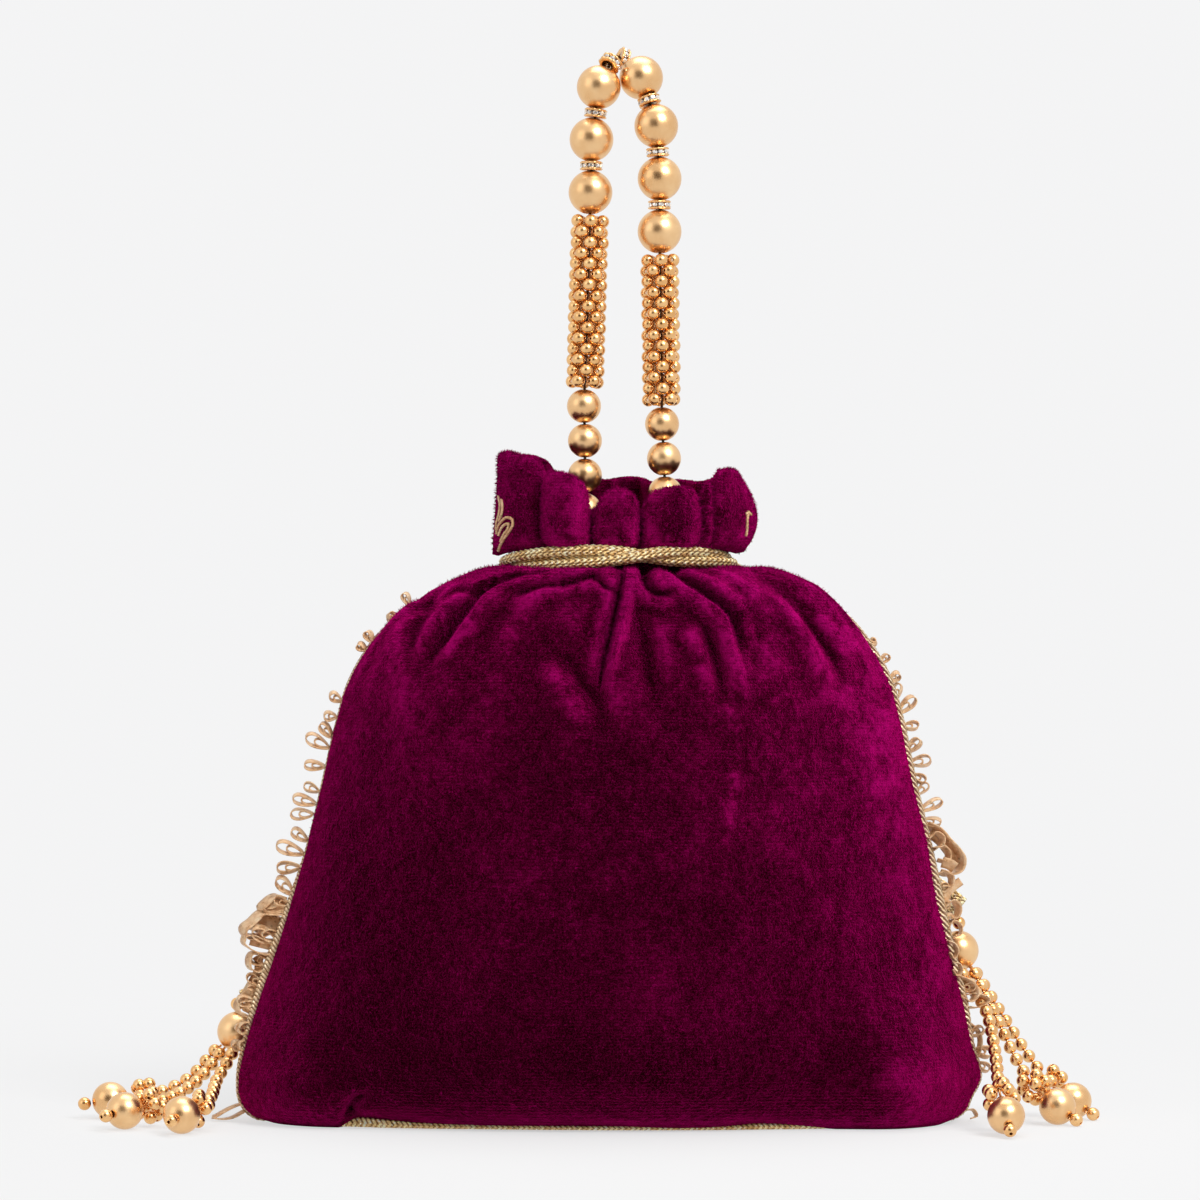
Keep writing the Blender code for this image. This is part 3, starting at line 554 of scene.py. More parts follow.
def build_tails():
    """The four free ends of the drawstrings, with their real routes and lengths."""
    made = {}
    for side, route, tassel in (("left", LEFT_TAIL, LEFT_TASSEL), ("right", RIGHT_TAIL, RIGHT_TASSEL)):
        for letter, sideways in (("a", 1), ("b", -1)):
            line = tail_route(route, sideways, tassel)
            cord = braided(f"braided_tail_{side}_{letter}", line, CORD_DIAMETER)
            belonging(cord, "bag", f"drawstring_tail_{side}_{letter}")
            made[side, letter] = (cord, line)
    return made


TAILS = build_tails()


# Velvet: the bag's outline in front view, and its depth. Height, left half, right half, half depth, in mm
PROFILE = np.array([
    (0.0, 97.5, 95.5, 25.5), (1.4, 101.6, 98.8, 28.6), (3.6, 104.6, 101.4, 31.0), (6.8, 106.2, 102.8, 32.8),
    (12.0, 106.6, 105.4, 34.5), (23.0, 104.4, 102.8, 36.5), (34.7, 100.8, 100.4, 37.6),
    (46.0, 97.0, 97.2, 37.8), (63.0, 91.6, 92.8, 37.2), (80.4, 86.8, 90.0, 36.0), (97.6, 82.8, 86.0, 34.0),
    (114.7, 78.8, 82.6, 31.9), (126.0, 75.4, 79.4, 30.4), (134.0, 71.0, 75.4, 29.2),
    (141.0, 65.2, 70.6, 28.2), (147.0, 57.8, 65.0, 27.2), (151.5, 50.4, 59.6, 26.2),
    (154.8, 43.4, 53.4, 25.2), (156.9, 38.0, 47.6, 24.0), (157.9, 33.2, 41.8, 22.4),
    (157.9, 29.2, 35.6, 20.6), (157.6, 27.4, 31.6, 18.8), (159.2, 26.8, 30.6, 17.6),
    (161.4, 26.8, 30.6, 17.4), (163.4, 27.4, 31.4, 17.8),
]) * MM
FOOT_RINGS = [(0.955, 0.62), (0.90, 0.30)]
NECK_MIDDLE = 2.0 * MM
SEAM_PLANE = 0.02 * MM
CLOTH = 2.0 * MM

# The frill's rim: share of the half turn from left to right, x, distance from the seam's plane, height, in mm
BACK_RIM = np.array([
    (0.000, -32.4, 0.0, 187.4), (0.045, -32.6, 3.2, 189.2), (0.095, -30.6, 7.6, 190.0),
    (0.170, -26.4, 11.6, 189.0), (0.235, -21.4, 13.8, 187.6), (0.275, -18.4, 12.4, 184.0),
    (0.303, -18.8, 8.6, 180.6), (0.322, -19.6, 13.8, 182.0), (0.345, -17.6, 19.6, 183.9),
    (0.372, -13.6, 21.8, 183.6), (0.396, -9.6, 21.2, 182.0), (0.414, -6.6, 18.4, 178.8),
    (0.428, -6.4, 13.0, 173.4), (0.446, -4.4, 18.4, 174.8), (0.462, -1.8, 20.8, 177.9),
    (0.485, 1.6, 21.6, 179.0), (0.503, 4.8, 21.0, 178.5), (0.519, 7.2, 18.6, 176.4),
    (0.531, 7.9, 12.8, 172.4), (0.548, 9.2, 18.8, 175.4), (0.561, 11.0, 20.8, 177.9),
    (0.582, 14.2, 21.8, 179.0), (0.605, 17.6, 22.0, 179.7), (0.630, 21.0, 21.2, 179.6),
    (0.648, 23.4, 19.2, 178.6), (0.661, 24.6, 16.0, 176.6), (0.673, 24.2, 12.0, 175.4),
    (0.690, 26.0, 16.4, 180.2), (0.706, 28.0, 16.0, 180.6), (0.722, 29.2, 12.2, 178.6),
    (0.736, 28.6, 9.2, 177.2), (0.753, 28.2, 13.2, 181.2), (0.775, 29.2, 16.0, 184.0),
    (0.810, 31.6, 15.6, 184.6), (0.860, 34.2, 12.8, 185.0), (0.925, 36.4, 7.6, 184.0),
    (1.000, 37.2, 0.0, 181.6),
])
FRONT_RIM = np.array([
    (0.000, -32.4, 0.0, 187.4), (0.090, -31.6, 6.0, 189.6), (0.180, -27.0, 13.0, 189.6),
    (0.260, -21.0, 17.0, 189.2), (0.300, -17.4, 15.6, 187.4), (0.325, -15.6, 12.0, 184.6),
    (0.352, -12.6, 17.2, 183.8), (0.388, -8.4, 20.6, 183.8), (0.424, -3.8, 18.4, 183.4),
    (0.442, -2.0, 13.4, 182.6), (0.466, 1.0, 18.4, 183.2), (0.505, 5.6, 20.8, 183.6),
    (0.542, 10.2, 18.4, 183.0), (0.560, 12.0, 13.4, 182.0), (0.586, 14.4, 18.2, 182.6),
    (0.622, 18.6, 20.2, 182.8), (0.660, 23.4, 17.4, 182.4), (0.685, 25.4, 12.6, 182.0),
    (0.725, 29.4, 15.2, 183.4), (0.800, 34.2, 13.0, 185.0), (0.900, 36.8, 7.5, 184.2),
    (1.000, 37.2, 0.0, 181.6),
])
# The frill at its two ends, from the neck to the rim: share of the height, then x and drop at the left, and x
# and drop at the right, in mm
FRILL_ENDS = np.array([
    (0.0, -27.4, 0.0, 31.4, 0.0), (0.05, -33.2, 3.2, 36.4, 2.2), (0.12, -33.8, 2.4, 38.8, 1.4),
    (0.25, -33.4, 0.8, 40.8, 0.3), (0.45, -32.9, 0.0, 41.7, 0.0), (0.65, -32.5, 0.0, 41.3, 0.0),
    (0.85, -32.3, 0.0, 39.4, 0.0), (1.0, -32.4, 0.0, 37.2, 0.0),
])
FRILL_SHARES = [(0.0, 0.0), (0.05, 0.55), (0.12, 0.90), (0.26, 1.02), (0.55, 1.06), (0.86, 1.03), (1.0, 1.0)]
# How much deeper the creases are cut than the table says, and the grid of the cloth
CREASE_SCALE = 1.25
COLUMNS = 320
BODY_ROW = 1.05 * MM
FRILL_ROWS = 26


def pixel(x, y, depth=-30.0):
    """A point of the photo in its own pixels, on the plane y = depth, as x and z in metres."""
    per_pixel = (1400 + depth) / 4900
    return (x - 600) * per_pixel * MM - 3.3 * MM, 149 * MM + (600 - y) * per_pixel * MM


# Creases on the visible side, as pixels of the photo, then depth and width in mm and the raised lip's side
CREASES = [
    ([(560, 571), (515, 580), (484, 595), (464, 615), (446, 637), (433, 657), (424, 684)], 4.4, 1.5, 1),
    ([(500, 574), (482, 592), (462, 594), (444, 592)], 2.8, 1.5, -1),
    ([(432, 594), (418, 622), (411, 645), (413, 676)], 2.0, 2.0, 1),
    ([(600, 572), (572, 581), (554, 585), (528, 592), (510, 599), (494, 614)], 3.4, 1.3, -1),
    ([(623, 570), (619, 596), (614, 619), (608, 642), (603, 662), (599, 700)], 5.2, 1.05, 1),
    ([(640, 566), (644, 580), (650, 590), (660, 594), (669, 592), (676, 583)], 4.6, 1.1, -1),
    ([(668, 566), (690, 583), (703, 593), (718, 604), (728, 614), (735, 630), (742, 664)], 5.6, 1.4, -1),
    ([(750, 570), (772, 586), (790, 598), (805, 614), (820, 634), (836, 662), (848, 704)], 2.8, 2.2, -1),
    ([(702, 622), (715, 655), (721, 680), (724, 714)], 1.8, 2.0, 1),
    ([(592, 573), (602, 584), (616, 594), (624, 604)], 2.0, 1.1, 1),
    ([(560, 650), (580, 678), (598, 706), (606, 740)], 1.5, 2.6, -1),
    ([(640, 628), (648, 668), (664, 720)], 1.2, 2.6, 1),
    ([(346, 1130), (352, 1112), (372, 1096)], 2.6, 1.8, -1),
]
# Soft swellings: pixel, half width and half height in mm, and how proud
SWELLINGS = [
    ((608, 586), 4.2, 3.6, 1.4), ((632, 583), 4.2, 4.2, 2.2), ((665, 582), 4.8, 3.4, 2.8),
    ((552, 577), 12.0, 2.8, 2.0), ((647, 574), 2.2, 3.4, -3.4), ((690, 570), 7.0, 3.0, -2.2),
    ((738, 584), 14.0, 7.0, 2.2), ((476, 580), 12.0, 5.0, 2.2), ((560, 610), 14.0, 9.0, 1.2),
    ((700, 622), 9.0, 9.0, 1.4), ((800, 640), 14.0, 16.0, 1.2), ((760, 700), 10.0, 16.0, 0.8),
    ((460, 700), 18.0, 26.0, 1.2), ((730, 790), 16.0, 24.0, 0.9), ((398, 720), 9.0, 26.0, 0.9),
    ((292, 1092), 15.0, 12.0, 1.6), ((905, 1090), 15.0, 12.0, 1.4), ((640, 1085), 60.0, 10.0, 0.8),
    ((930, 930), 12.0, 24.0, 0.8), ((420, 900), 26.0, 40.0, -1.0), ((800, 930), 26.0, 40.0, -0.8),
]
# Where the visible wall is painted lighter or darker, partly brush marks in the pile and partly painted light
# and shade, such as the lighter right shoulder and neck and the darker bottom and left side: pixel, half sizes
# in mm, tilt, strength
LAY_MARKS_AND_PAINTED_LIGHT = [
    ((728, 700), 1.6, 13.0, 4, 0.30), ((733, 790), 1.5, 16.0, -6, 0.34), ((760, 650), 3.2, 6.5, 8, 0.34),
    ((760, 596), 24.0, 7.0, -18, 0.28), ((850, 690), 11.0, 26.0, 12, 0.24),
    ((890, 760), 6.0, 30.0, 8, 0.16), ((650, 600), 16.0, 8.0, 0, 0.22), ((560, 592), 20.0, 6.0, 20, 0.24),
    ((455, 600), 12.0, 9.0, 40, 0.14), ((404, 700), 5.0, 22.0, -6, 0.16), ((385, 800), 8.0, 20.0, 0, 0.05),
    ((612, 690), 5.0, 9.0, 0, 0.14), ((560, 1090), 22.0, 2.6, -4, 0.16), ((345, 1078), 9.0, 6.0, 0, 0.12),
    ((530, 860), 30.0, 46.0, 0, -0.09), ((740, 920), 34.0, 34.0, 0, -0.08),
    ((600, 1090), 120.0, 17.0, 0, -0.40), ((335, 980), 26.0, 50.0, 0, -0.30),
    ((372, 780), 9.0, 34.0, -12, -0.12), ((370, 890), 14.0, 34.0, 0, -0.17),
    ((800, 860), 9.0, 16.0, 20, 0.08), ((930, 960), 5.0, 34.0, 14, 0.14), ((925, 1085), 8.0, 10.0, 0, 0.12),
]
# How far the visible edge is lifted off the floor between the two bottom corners: x, height, in mm
LIFT = np.array([
    (-84, 0.0), (-77, 0.5), (-72, 3.7), (-66, 3.2), (-52, 2.0), (-45, 1.7), (0, 1.5), (20, 0.8), (30, 1.0),
    (41, 1.9), (47, 1.6), (54, 0.7), (63, 0.0),
]) * MM
# The two bottom corners stand forward: middle in x, half width, how far forward, in mm
CORNERS = [(-86.0, 13.0, 3.0), (82.0, 17.0, 8.0)]


def nearest_on(line, x, z):
    """Distance to a line on the front view, on which side, and how far along it each point lies."""
    best = np.full(x.shape, np.inf)
    side = np.zeros(x.shape)
    share = np.zeros(x.shape)
    along = lengths_along(line)
    for number, (start, end) in enumerate(zip(line, line[1:])):
        way = end - start
        length = np.hypot(*way)
        t = np.clip(((x - start[0]) * way[0] + (z - start[1]) * way[1]) / length ** 2, 0.0, 1.0)
        dx, dz = x - start[0] - t * way[0], z - start[1] - t * way[1]
        distance = np.hypot(dx, dz)
        closer = distance < best
        best = np.where(closer, distance, best)
        side = np.where(closer, np.sign(way[0] * dz - way[1] * dx), side)
        share = np.where(closer, (along[number] + t * length) / along[-1], share)
    return best, side, share


def creased(points):
    """How far each point of the cloth moves out for the creases and swellings drawn on the front view."""
    x, z = points[..., 0], points[..., 2]
    moved = np.zeros(x.shape)
    for route, depth, width, lip in CREASES:
        line = resampled([pixel(*point) for point in route], 2.0 * MM)
        distance, side, share = nearest_on(line, x, z)
        signed = distance * side * lip / (width * MM)
        fade = (1.0 - smoothstep(0.55, 1.0, share)) * smoothstep(-0.05, 0.10, share)
        near = distance < width * MM * 6
        dip = -np.exp(-signed ** 2) + 0.62 * np.exp(-((signed - 2.3) / 1.5) ** 2)
        dip += 0.30 * np.exp(-((signed + 2.1) / 1.6) ** 2)
        moved += np.where(near, depth * MM * dip * fade, 0.0)
    for (px, py), half_width, half_height, proud in SWELLINGS:
        cx, cz = pixel(px, py)
        reach = ((x - cx) / (half_width * MM)) ** 2 + ((z - cz) / (half_height * MM)) ** 2
        moved += proud * MM * np.exp(-reach)
    return moved


def grid_normals(points, rows, way=1):
    """The cloth's normals, turned so that these rows look towards +Y, or towards -Y where way is -1."""
    normals = unit(np.cross(np.gradient(points, axis=1), np.gradient(points, axis=0)))
    return normals * way * np.sign(np.mean(normals[rows, :, 1]))


WAVES = 14


def ripples(points, scale, seed):
    """Soft uneven waves, as cloth over a filling has them."""
    waves = np.random.default_rng(seed)
    total = np.zeros(points.shape[:-1])
    for _ in range(WAVES):
        way = waves.normal(size=3)
        way /= np.linalg.norm(way)
        length = scale * waves.uniform(0.6, 1.6)
        total += np.sin(points @ way * 2 * math.pi / length + waves.uniform(0, 6.28))
    return total / WAVES ** 0.5


def half_turns():
    """Angle of each column from the left seam to the right one, closer together where the cloth turns."""
    t = np.linspace(0.0, 1.0, COLUMNS)
    return 0.45 * math.pi * t + 0.55 * np.arccos(1 - 2 * t)


def body_grid(angles, fuller):
    """The cloth from the foot over the shoulder to the top of the neck, as rows by columns by 3, on the
    side of +Y."""
    profile_way = np.column_stack([PROFILE[:, 0], (PROFILE[:, 1] + PROFILE[:, 2]) / 2])
    along = lengths_along(profile_way)
    rows = smooth_through(along, PROFILE, np.linspace(0.0, along[-1], int(along[-1] / BODY_ROW)))
    neck = smoothstep(150 * MM, 158 * MM, rows[:, 0])[:, None]
    middle = ((rows[:, 2] - rows[:, 1]) / 2)[:, None]
    half = ((rows[:, 2] + rows[:, 1]) / 2)[:, None]
    power = 1.22 * (1 - neck) + 1.0 * neck
    x = middle - half * np.cos(angles)[None, :]
    y = rows[:, 3][:, None] * np.sin(angles)[None, :] ** power
    z = np.broadcast_to(rows[:, 0][:, None], x.shape)
    body = np.stack([x, y, z], axis=2)
    if fuller:
        low = 1.0 - smoothstep(6 * MM, 46 * MM, body[..., 2])
        low = low * smoothstep(0.0, 0.30, np.sin(angles))[None, :]
        for centre, half_width, forward in CORNERS:
            body[..., 1] += forward * MM * np.exp(-((body[..., 0] / MM - centre) / half_width) ** 2) * low
    foot = []
    for width, depth in FOOT_RINGS:
        ring = body[0].copy()
        ring[:, 0] *= width
        ring[:, 1] *= depth
        ring[:, 2] = np.where(np.abs(ring[:, 1]) < 5.5 * MM, 2.2 * MM, 0.0)
        foot.append(ring)
    return np.concatenate([np.array(foot[::-1]), body])


def gathers(body, angles, count, depth, seed):
    """Small pleats that run down from the neck and fade on the shoulder."""
    height = body[..., 2]
    waves = np.random.default_rng(seed)
    phase = waves.uniform(-0.5, 0.5, count + 1)
    share = angles / math.pi
    bent = share * count + np.interp(share * count, np.arange(count + 1), phase)
    reach = smoothstep(104 * MM, 157 * MM, height)
    crest = np.cos(2 * math.pi * bent)[None, :]
    uneven = np.where(crest > 0, crest, 0.7 * crest)
    return depth * reach * uneven * smoothstep(0.0, 0.10, np.sin(angles))[None, :]


def frill_grid(neck_row, rim_table, angles):
    """The frill from the top of the neck to the rim."""
    turn = angles / math.pi
    rim = smooth_through(rim_table[:, 0], rim_table[:, 1:] * MM, turn)
    at_left, at_right = 1.0 - smoothstep(0.0, 0.16, turn), smoothstep(0.80, 1.0, turn)
    ends = FRILL_ENDS[:, 1:] * MM
    rows = []
    for share in np.linspace(0.0, 1.0, FRILL_ROWS)[1:]:
        spread = smooth_through(*zip(*FRILL_SHARES), [share])[0]
        left, left_drop, right, right_drop = smooth_through(FRILL_ENDS[:, 0], ends, [share])[0]
        row = np.empty_like(neck_row)
        row[:, :2] = neck_row[:, :2] + (rim[:, :2] - neck_row[:, :2]) * spread
        row[:, 2] = neck_row[:, 2] + (rim[:, 2] - neck_row[:, 2]) * share
        row[:, 0] += at_left * (left - row[0, 0]) + at_right * (right - row[-1, 0])
        row[:, 2] -= at_left * left_drop + at_right * right_drop
        rows.append(row)
    return np.array(rows)


def rolled_over(outside, normals, rows_down):
    """The rounded rim and the inner side of the frill, down into the neck."""
    out = unit(normals[-1] * (1.0, 1.0, 0.0))
    rolled = [outside[-1] - out * CLOTH * inward + np.array(UP) * CLOTH * rise
              for inward, rise in ((0.10, 0.42), (0.5, 0.62), (0.90, 0.42))]
    for number in range(rows_down):
        row = len(outside) - 1 - number
        rolled.append(outside[row] - unit(normals[row] * (1.0, 1.0, 0.3)) * CLOTH)
    return np.array(rolled)


def velvet_panel(name, node, rim_table, front):
    """One velvet panel, from the bottom seam over the shoulder and the rim, and down inside the frill."""
    angles = half_turns()
    body = body_grid(angles, not front)
    middle_row = len(body) // 2
    normals = grid_normals(body, middle_row)
    loose = smoothstep(0.0, 3.0 * MM, body[..., 2]) * smoothstep(0.0, 0.25, np.sin(angles))[None, :]
    if front:
        moved = gathers(body, angles, 11, 1.9 * MM, 5) + 0.45 * MM * ripples(body, 34 * MM, 3) * loose
    else:
        moved = CREASE_SCALE * creased(body) * loose + gathers(body, angles, 13, 0.6 * MM, 9)
        moved += 0.28 * MM * ripples(body, 30 * MM, 11) * loose
        raised = smooth_through(LIFT[:, 0], LIFT[:, 1], np.clip(body[..., 0], LIFT[0, 0], LIFT[-1, 0]))
        body[..., 2] += raised * (1.0 - smoothstep(0.0, 14.0 * MM, body[..., 2])) * (body[..., 1] > 16.0 * MM)
    neck_hold = 1.0 - smoothstep(157.2 * MM, 158.4 * MM, body[..., 2]) * 0.75
    moved = moved * neck_hold + 0.10 * MM * ripples(body, 7 * MM, 4) * loose
    moved = np.minimum(moved, (4.6 - 3.5 * smoothstep(0.35, 0.95, normals[..., 2])) * MM)
    body = body + normals * moved[..., None]
    body[..., 2] -= 0.9 * MM * np.sin(angles)[None, :] * smoothstep(150 * MM, 157 * MM, body[..., 2])
    body[..., 2] = np.maximum(body[..., 2], 0.0)
    outside = np.concatenate([body, frill_grid(body[-1], rim_table, angles)])
    cloth = np.concatenate([outside, rolled_over(outside, grid_normals(outside, middle_row), FRILL_ROWS + 9)])
    cloth[..., 1] = np.maximum(cloth[..., 1], SEAM_PLANE)
    faces = grid_faces(*cloth.shape[:2])
    if front:
        faces = [tuple(reversed(face)) for face in faces]
    else:
        cloth[..., 1] *= -1
    obj = mesh_object(name, cloth.reshape(-1, 3), faces, VELVET)
    outward = grid_normals(cloth, slice(40, 100), 1 if front else -1)
    # Painted light and shade, with the brush marks, kept on the cloth for the velvet's colour.
    with_values(obj, "brushed", lay_marks_and_painted_light(cloth, outward, front))
    belonging(obj, "bag", node)
    return obj


def averaged(values, reach, axis):
    """The running mean over this many steps each way along one axis."""
    padded = np.concatenate([np.repeat(np.take(values, [0], axis), reach + 1, axis), values,
                             np.repeat(np.take(values, [-1], axis), reach, axis)], axis)
    sums = np.cumsum(padded, axis)
    count = values.shape[axis]
    high = np.take(sums, range(2 * reach + 1, 2 * reach + 1 + count), axis)
    return (high - np.take(sums, range(count), axis)) / (2 * reach + 1)


def lay_marks_and_painted_light(cloth, normals, front):
    """How much lighter or darker the pile is painted at each point: a painted highlight on ridges,
    painted shade in hollows, and marks in the places that the visible wall shows, partly brush marks and
    partly painted light and shade."""
    smooth = averaged(averaged(cloth, 6, 0), 9, 1)
    # Painted highlight on ridges and painted shade in hollows: how far each point stands out of the smoothed
    # cloth.
    total = np.clip(np.sum((cloth - smooth) * normals, axis=2) / MM * 0.34, -0.40, 0.30)
    # Marks on the visible wall: partly brush marks, partly painted light and shade.
    for (px, py), half_width, half_height, tilt, strength in LAY_MARKS_AND_PAINTED_LIGHT:
        cx, cz = pixel(px, py)
        angle = math.radians(tilt)
        x, z = (cloth[..., 0] - cx) / MM * (-1 if front else 1), (cloth[..., 2] - cz) / MM
        across = x * math.cos(angle) + z * math.sin(angle)
        along = z * math.cos(angle) - x * math.sin(angle)
        total += strength * np.exp(-(across / half_width) ** 2 - (along / half_height) ** 2)
    return total


BACK = velvet_panel("velvet_back", "back_panel", BACK_RIM, False)
FRONT = velvet_panel("velvet_front", "front_panel", FRONT_RIM, True)


def fast_mesh(name, corners, material):
    """A mesh of loose triangles, three corners each."""
    count = len(corners) // 3
    mesh = bpy.data.meshes.new(name)
    mesh.vertices.add(count * 3)
    mesh.vertices.foreach_set("co", np.asarray(corners, np.float32).reshape(-1))
    mesh.loops.add(count * 3)
    mesh.loops.foreach_set("vertex_index", np.arange(count * 3, dtype=np.int32))
    mesh.polygons.add(count)
    mesh.polygons.foreach_set("loop_start", np.arange(0, count * 3, 3, dtype=np.int32))
    mesh.update(calc_edges=True)
    mesh.materials.append(material)
    return link(name, mesh)


def face_values(mesh, name, width):
    values = np.empty(len(mesh.polygons) * width, np.float32)
    mesh.polygons.foreach_get(name, values)
    return values.reshape(-1, width)


def pile_on(panel, name, count, seed, shortest, longest):
    """Short loose ends of pile that stand out of the velvet, most of them on the frill, the rim and the
    shoulder."""
    middles, normals = face_values(panel.data, "center", 3), face_values(panel.data, "normal", 3)
    areas = face_values(panel.data, "area", 1)[:, 0]
    height = middles[:, 2]
    crowd = 0.30 + 0.5 * smoothstep(128 * MM, 150 * MM, height) + 0.4 * smoothstep(160 * MM, 170 * MM, height)
    crowd += 9.0 * smoothstep(166 * MM, 170 * MM, height) * smoothstep(0.30, 0.60, normals[:, 2])
    crowd += 1.8 * smoothstep(0.80, 0.97, np.abs(normals[:, 0])) + 1.0 * smoothstep(0.80, 0.97, normals[:, 2])
    odds = areas * crowd * (np.abs(middles[:, 1]) > 2.2 * MM) * (height > 1.5 * MM)
    dice = np.random.default_rng(seed)
    picked = dice.choice(len(odds), count, p=odds / odds.sum())
    out = unit(normals[picked] + dice.normal(0.0, 0.45, (count, 3)))
    aside = unit(np.cross(out, dice.normal(size=(count, 3))))
    foot = middles[picked] + aside * dice.uniform(-0.5, 0.5, count)[:, None] * MM
    foot = foot - normals[picked] * 0.15 * MM
    length = dice.uniform(shortest, longest, count)[:, None] * MM
    across = np.cross(out, aside) * 0.12 * MM
    corners = np.stack([foot - across, foot + across, foot + out * length], axis=1).reshape(-1, 3)
    belonging(fast_mesh(name, corners, PILE), "bag")


pile_on(BACK, "velvet_pile_back", 80000, 21, 0.5, 1.25)
pile_on(FRONT, "velvet_pile_front", 50000, 22, 0.3, 0.6)


# Drawstring round the neck

WRAP_DIAMETER = 3.8 * MM
WRAP_HEIGHT = 159.1 * MM
WRAP_HALF_WIDTH = 30.6 * MM
WRAP_HALF_DEPTH = 20.4 * MM


def build_wraps():
    """Two turns side by side that cross in the middle of the visible side and again at the front."""
    for name, sign, node in (("braided_wrap_one", 1, "drawstring_wrap_upper"),
                             ("braided_wrap_two", -1, "drawstring_wrap_lower")):
        points = []
        for angle in turns(72):
            across = math.cos(angle)
            back = math.sin(angle) < 0
            swap = math.tanh((across - 0.20) * 3.2) if back else math.tanh((across - 0.05) * 4.0)
            crossing = math.exp(-((across - 0.20) * 3.0) ** 2)
            ends = across ** 6
            spread = 1.80 * MM * (1.0 - 0.40 * ends) - (0.40 * MM * max(0.0, across) if back else 0.0)
            over = 0.85 * MM + 0.95 * MM * (-sign if back else sign)
            out = 0.95 * MM + over * crossing + 0.9 * MM * sign * ends
            rise = (2.3 if back else 1.2) * abs(math.sin(angle)) + 0.6 * across
            points.append((NECK_MIDDLE + (WRAP_HALF_WIDTH + out) * across,
                           (WRAP_HALF_DEPTH + out) * math.sin(angle),
                           WRAP_HEIGHT + rise * MM - sign * swap * spread))
        points.append(points[0])
        belonging(braided(name, points, WRAP_DIAMETER, closed=True), "bag", node)


build_wraps()


# Beads

MIDDLE_BEAD = 9.75 * MM
BIG_BEAD = 12.55 * MM
ANCHOR_BEAD = 9.6 * MM
TUBE_RING = 3.8 * MM
TUBE_ROW = 3.05 * MM
BIG_HOLE = 2.0 * MM
SMALL_HOLE = 0.9 * MM
TUBE_HOLE = 0.8 * MM


def on_circle(turn, reach, angle, height=0.0):
    """A point at this reach, angle and height about the turned Z axis."""
    return turn @ Vector((reach * math.cos(angle), reach * math.sin(angle), height))


def bead_form(centre, axis, diameter, hole, around, rings):
    """Corners and faces of a round bead with a straight hole and a softened lip."""
    radius, bore = diameter / 2, hole / 2
    first = math.asin(min(0.95, bore * 1.25 / radius))
    profile = [(radius * math.sin(angle), radius * math.cos(angle))
               for angle in np.linspace(first, math.pi - first, rings)]
    top = profile[0][1]
    profile = [(bore, top - bore * 0.35), (bore * 1.08, top - bore * 0.05), *profile,
               (bore * 1.08, bore * 0.05 - top), (bore, bore * 0.35 - top)]
    turn = Vector(axis).to_track_quat("Z", "Y")
    corners = [Vector(centre) + on_circle(turn, reach, angle, height)
               for reach, height in profile for angle in turns(around)]
    return corners, grid_faces(len(profile), around, True, True)


def middle_of(node):
    low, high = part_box(node)
    return (low + high) / 2


def single_bead(name, node, axis, diameter, body, hole=BIG_HOLE):
    around, rings, finish = (40, 24, BEAD_GOLD) if diameter > 5 * MM else (24, 14, SMALL_GOLD)
    corners, faces = bead_form(middle_of(node), axis, diameter, hole, around, rings)
    return belonging(mesh_object(name, corners, faces, finish), body, node)


def rondelle(name, node, axis):
    """Two thin gold discs with a ring of cut stones between them."""
    centre = middle_of(node)
    turn = Vector(axis).to_track_quat("Z", "Y")
    half, outer, bore = 1.25 * MM, 3.2 * MM, 1.1 * MM
    rows = [(bore, half), (outer - 0.3 * MM, half), (outer, half - 0.22 * MM), (outer, half - 0.48 * MM),
            (outer - 0.25 * MM, half - 0.66 * MM), (bore, half - 0.70 * MM)]
    around = 54
    faces = grid_faces(len(rows), around, True, True)
    metal = Builder()
    for sign in (-1, 1):
        corners = []
        for reach, height in rows:
            for angle in turns(around):
                scallop = 1.0 + (0.035 * math.cos(9 * angle) if reach > 2 * MM else 0.0)
                corners.append(centre + on_circle(turn, reach * scallop, angle, sign * height))
        metal.add(corners, faces if sign > 0 else [tuple(reversed(face)) for face in faces])
    stones = Builder()
    for number in range(9):
        radial = on_circle(turn, 1.0, 2 * math.pi * (number + 0.5) / 9)
        seat = centre + radial * (outer - 0.85 * MM)
        facet_turn = radial.to_track_quat("Z", "Y")
        facets = [(0.42, 0.85), (0.82, 0.45), (0.82, -0.25), (0.15, -0.8)]
        corners = [seat + on_circle(facet_turn, reach * MM, 2 * math.pi * (k + 0.5 * row) / 6, height * MM)
                   for row, (reach, height) in enumerate(facets) for k in range(6)]
        stones.add(corners, capped_faces(len(facets), 6))
    belonging(metal.finish(name, SMALL_GOLD), "handle", node)
    belonging(stones.finish(name + "_stones", STONE, smooth=False), "handle")


def bead_tube(name, node, rows, axis, phase):
    """Staggered rows of five small beads, woven into a sleeve."""
    centre = middle_of(node)
    axis = Vector(axis).normalized()
    turn = axis.to_track_quat("Z", "X")
    gathered = Builder()
    for row in range(rows):
        height = (row - (rows - 1) / 2) * TUBE_ROW
        for number in range(5):
            radial = on_circle(turn, 1.0, math.radians(72 * number + (36 if row % 2 else 0) + phase))
            at = centre + axis * (height + chance.uniform(-0.1, 0.1) * MM)
            at += radial * (TUBE_RING + chance.uniform(-0.08, 0.08) * MM)
            gathered.add(*bead_form(at, axis.cross(radial), SMALL_BEAD, TUBE_HOLE, 18, 10))
    belonging(gathered.finish(name, SMALL_GOLD), "handle", node)


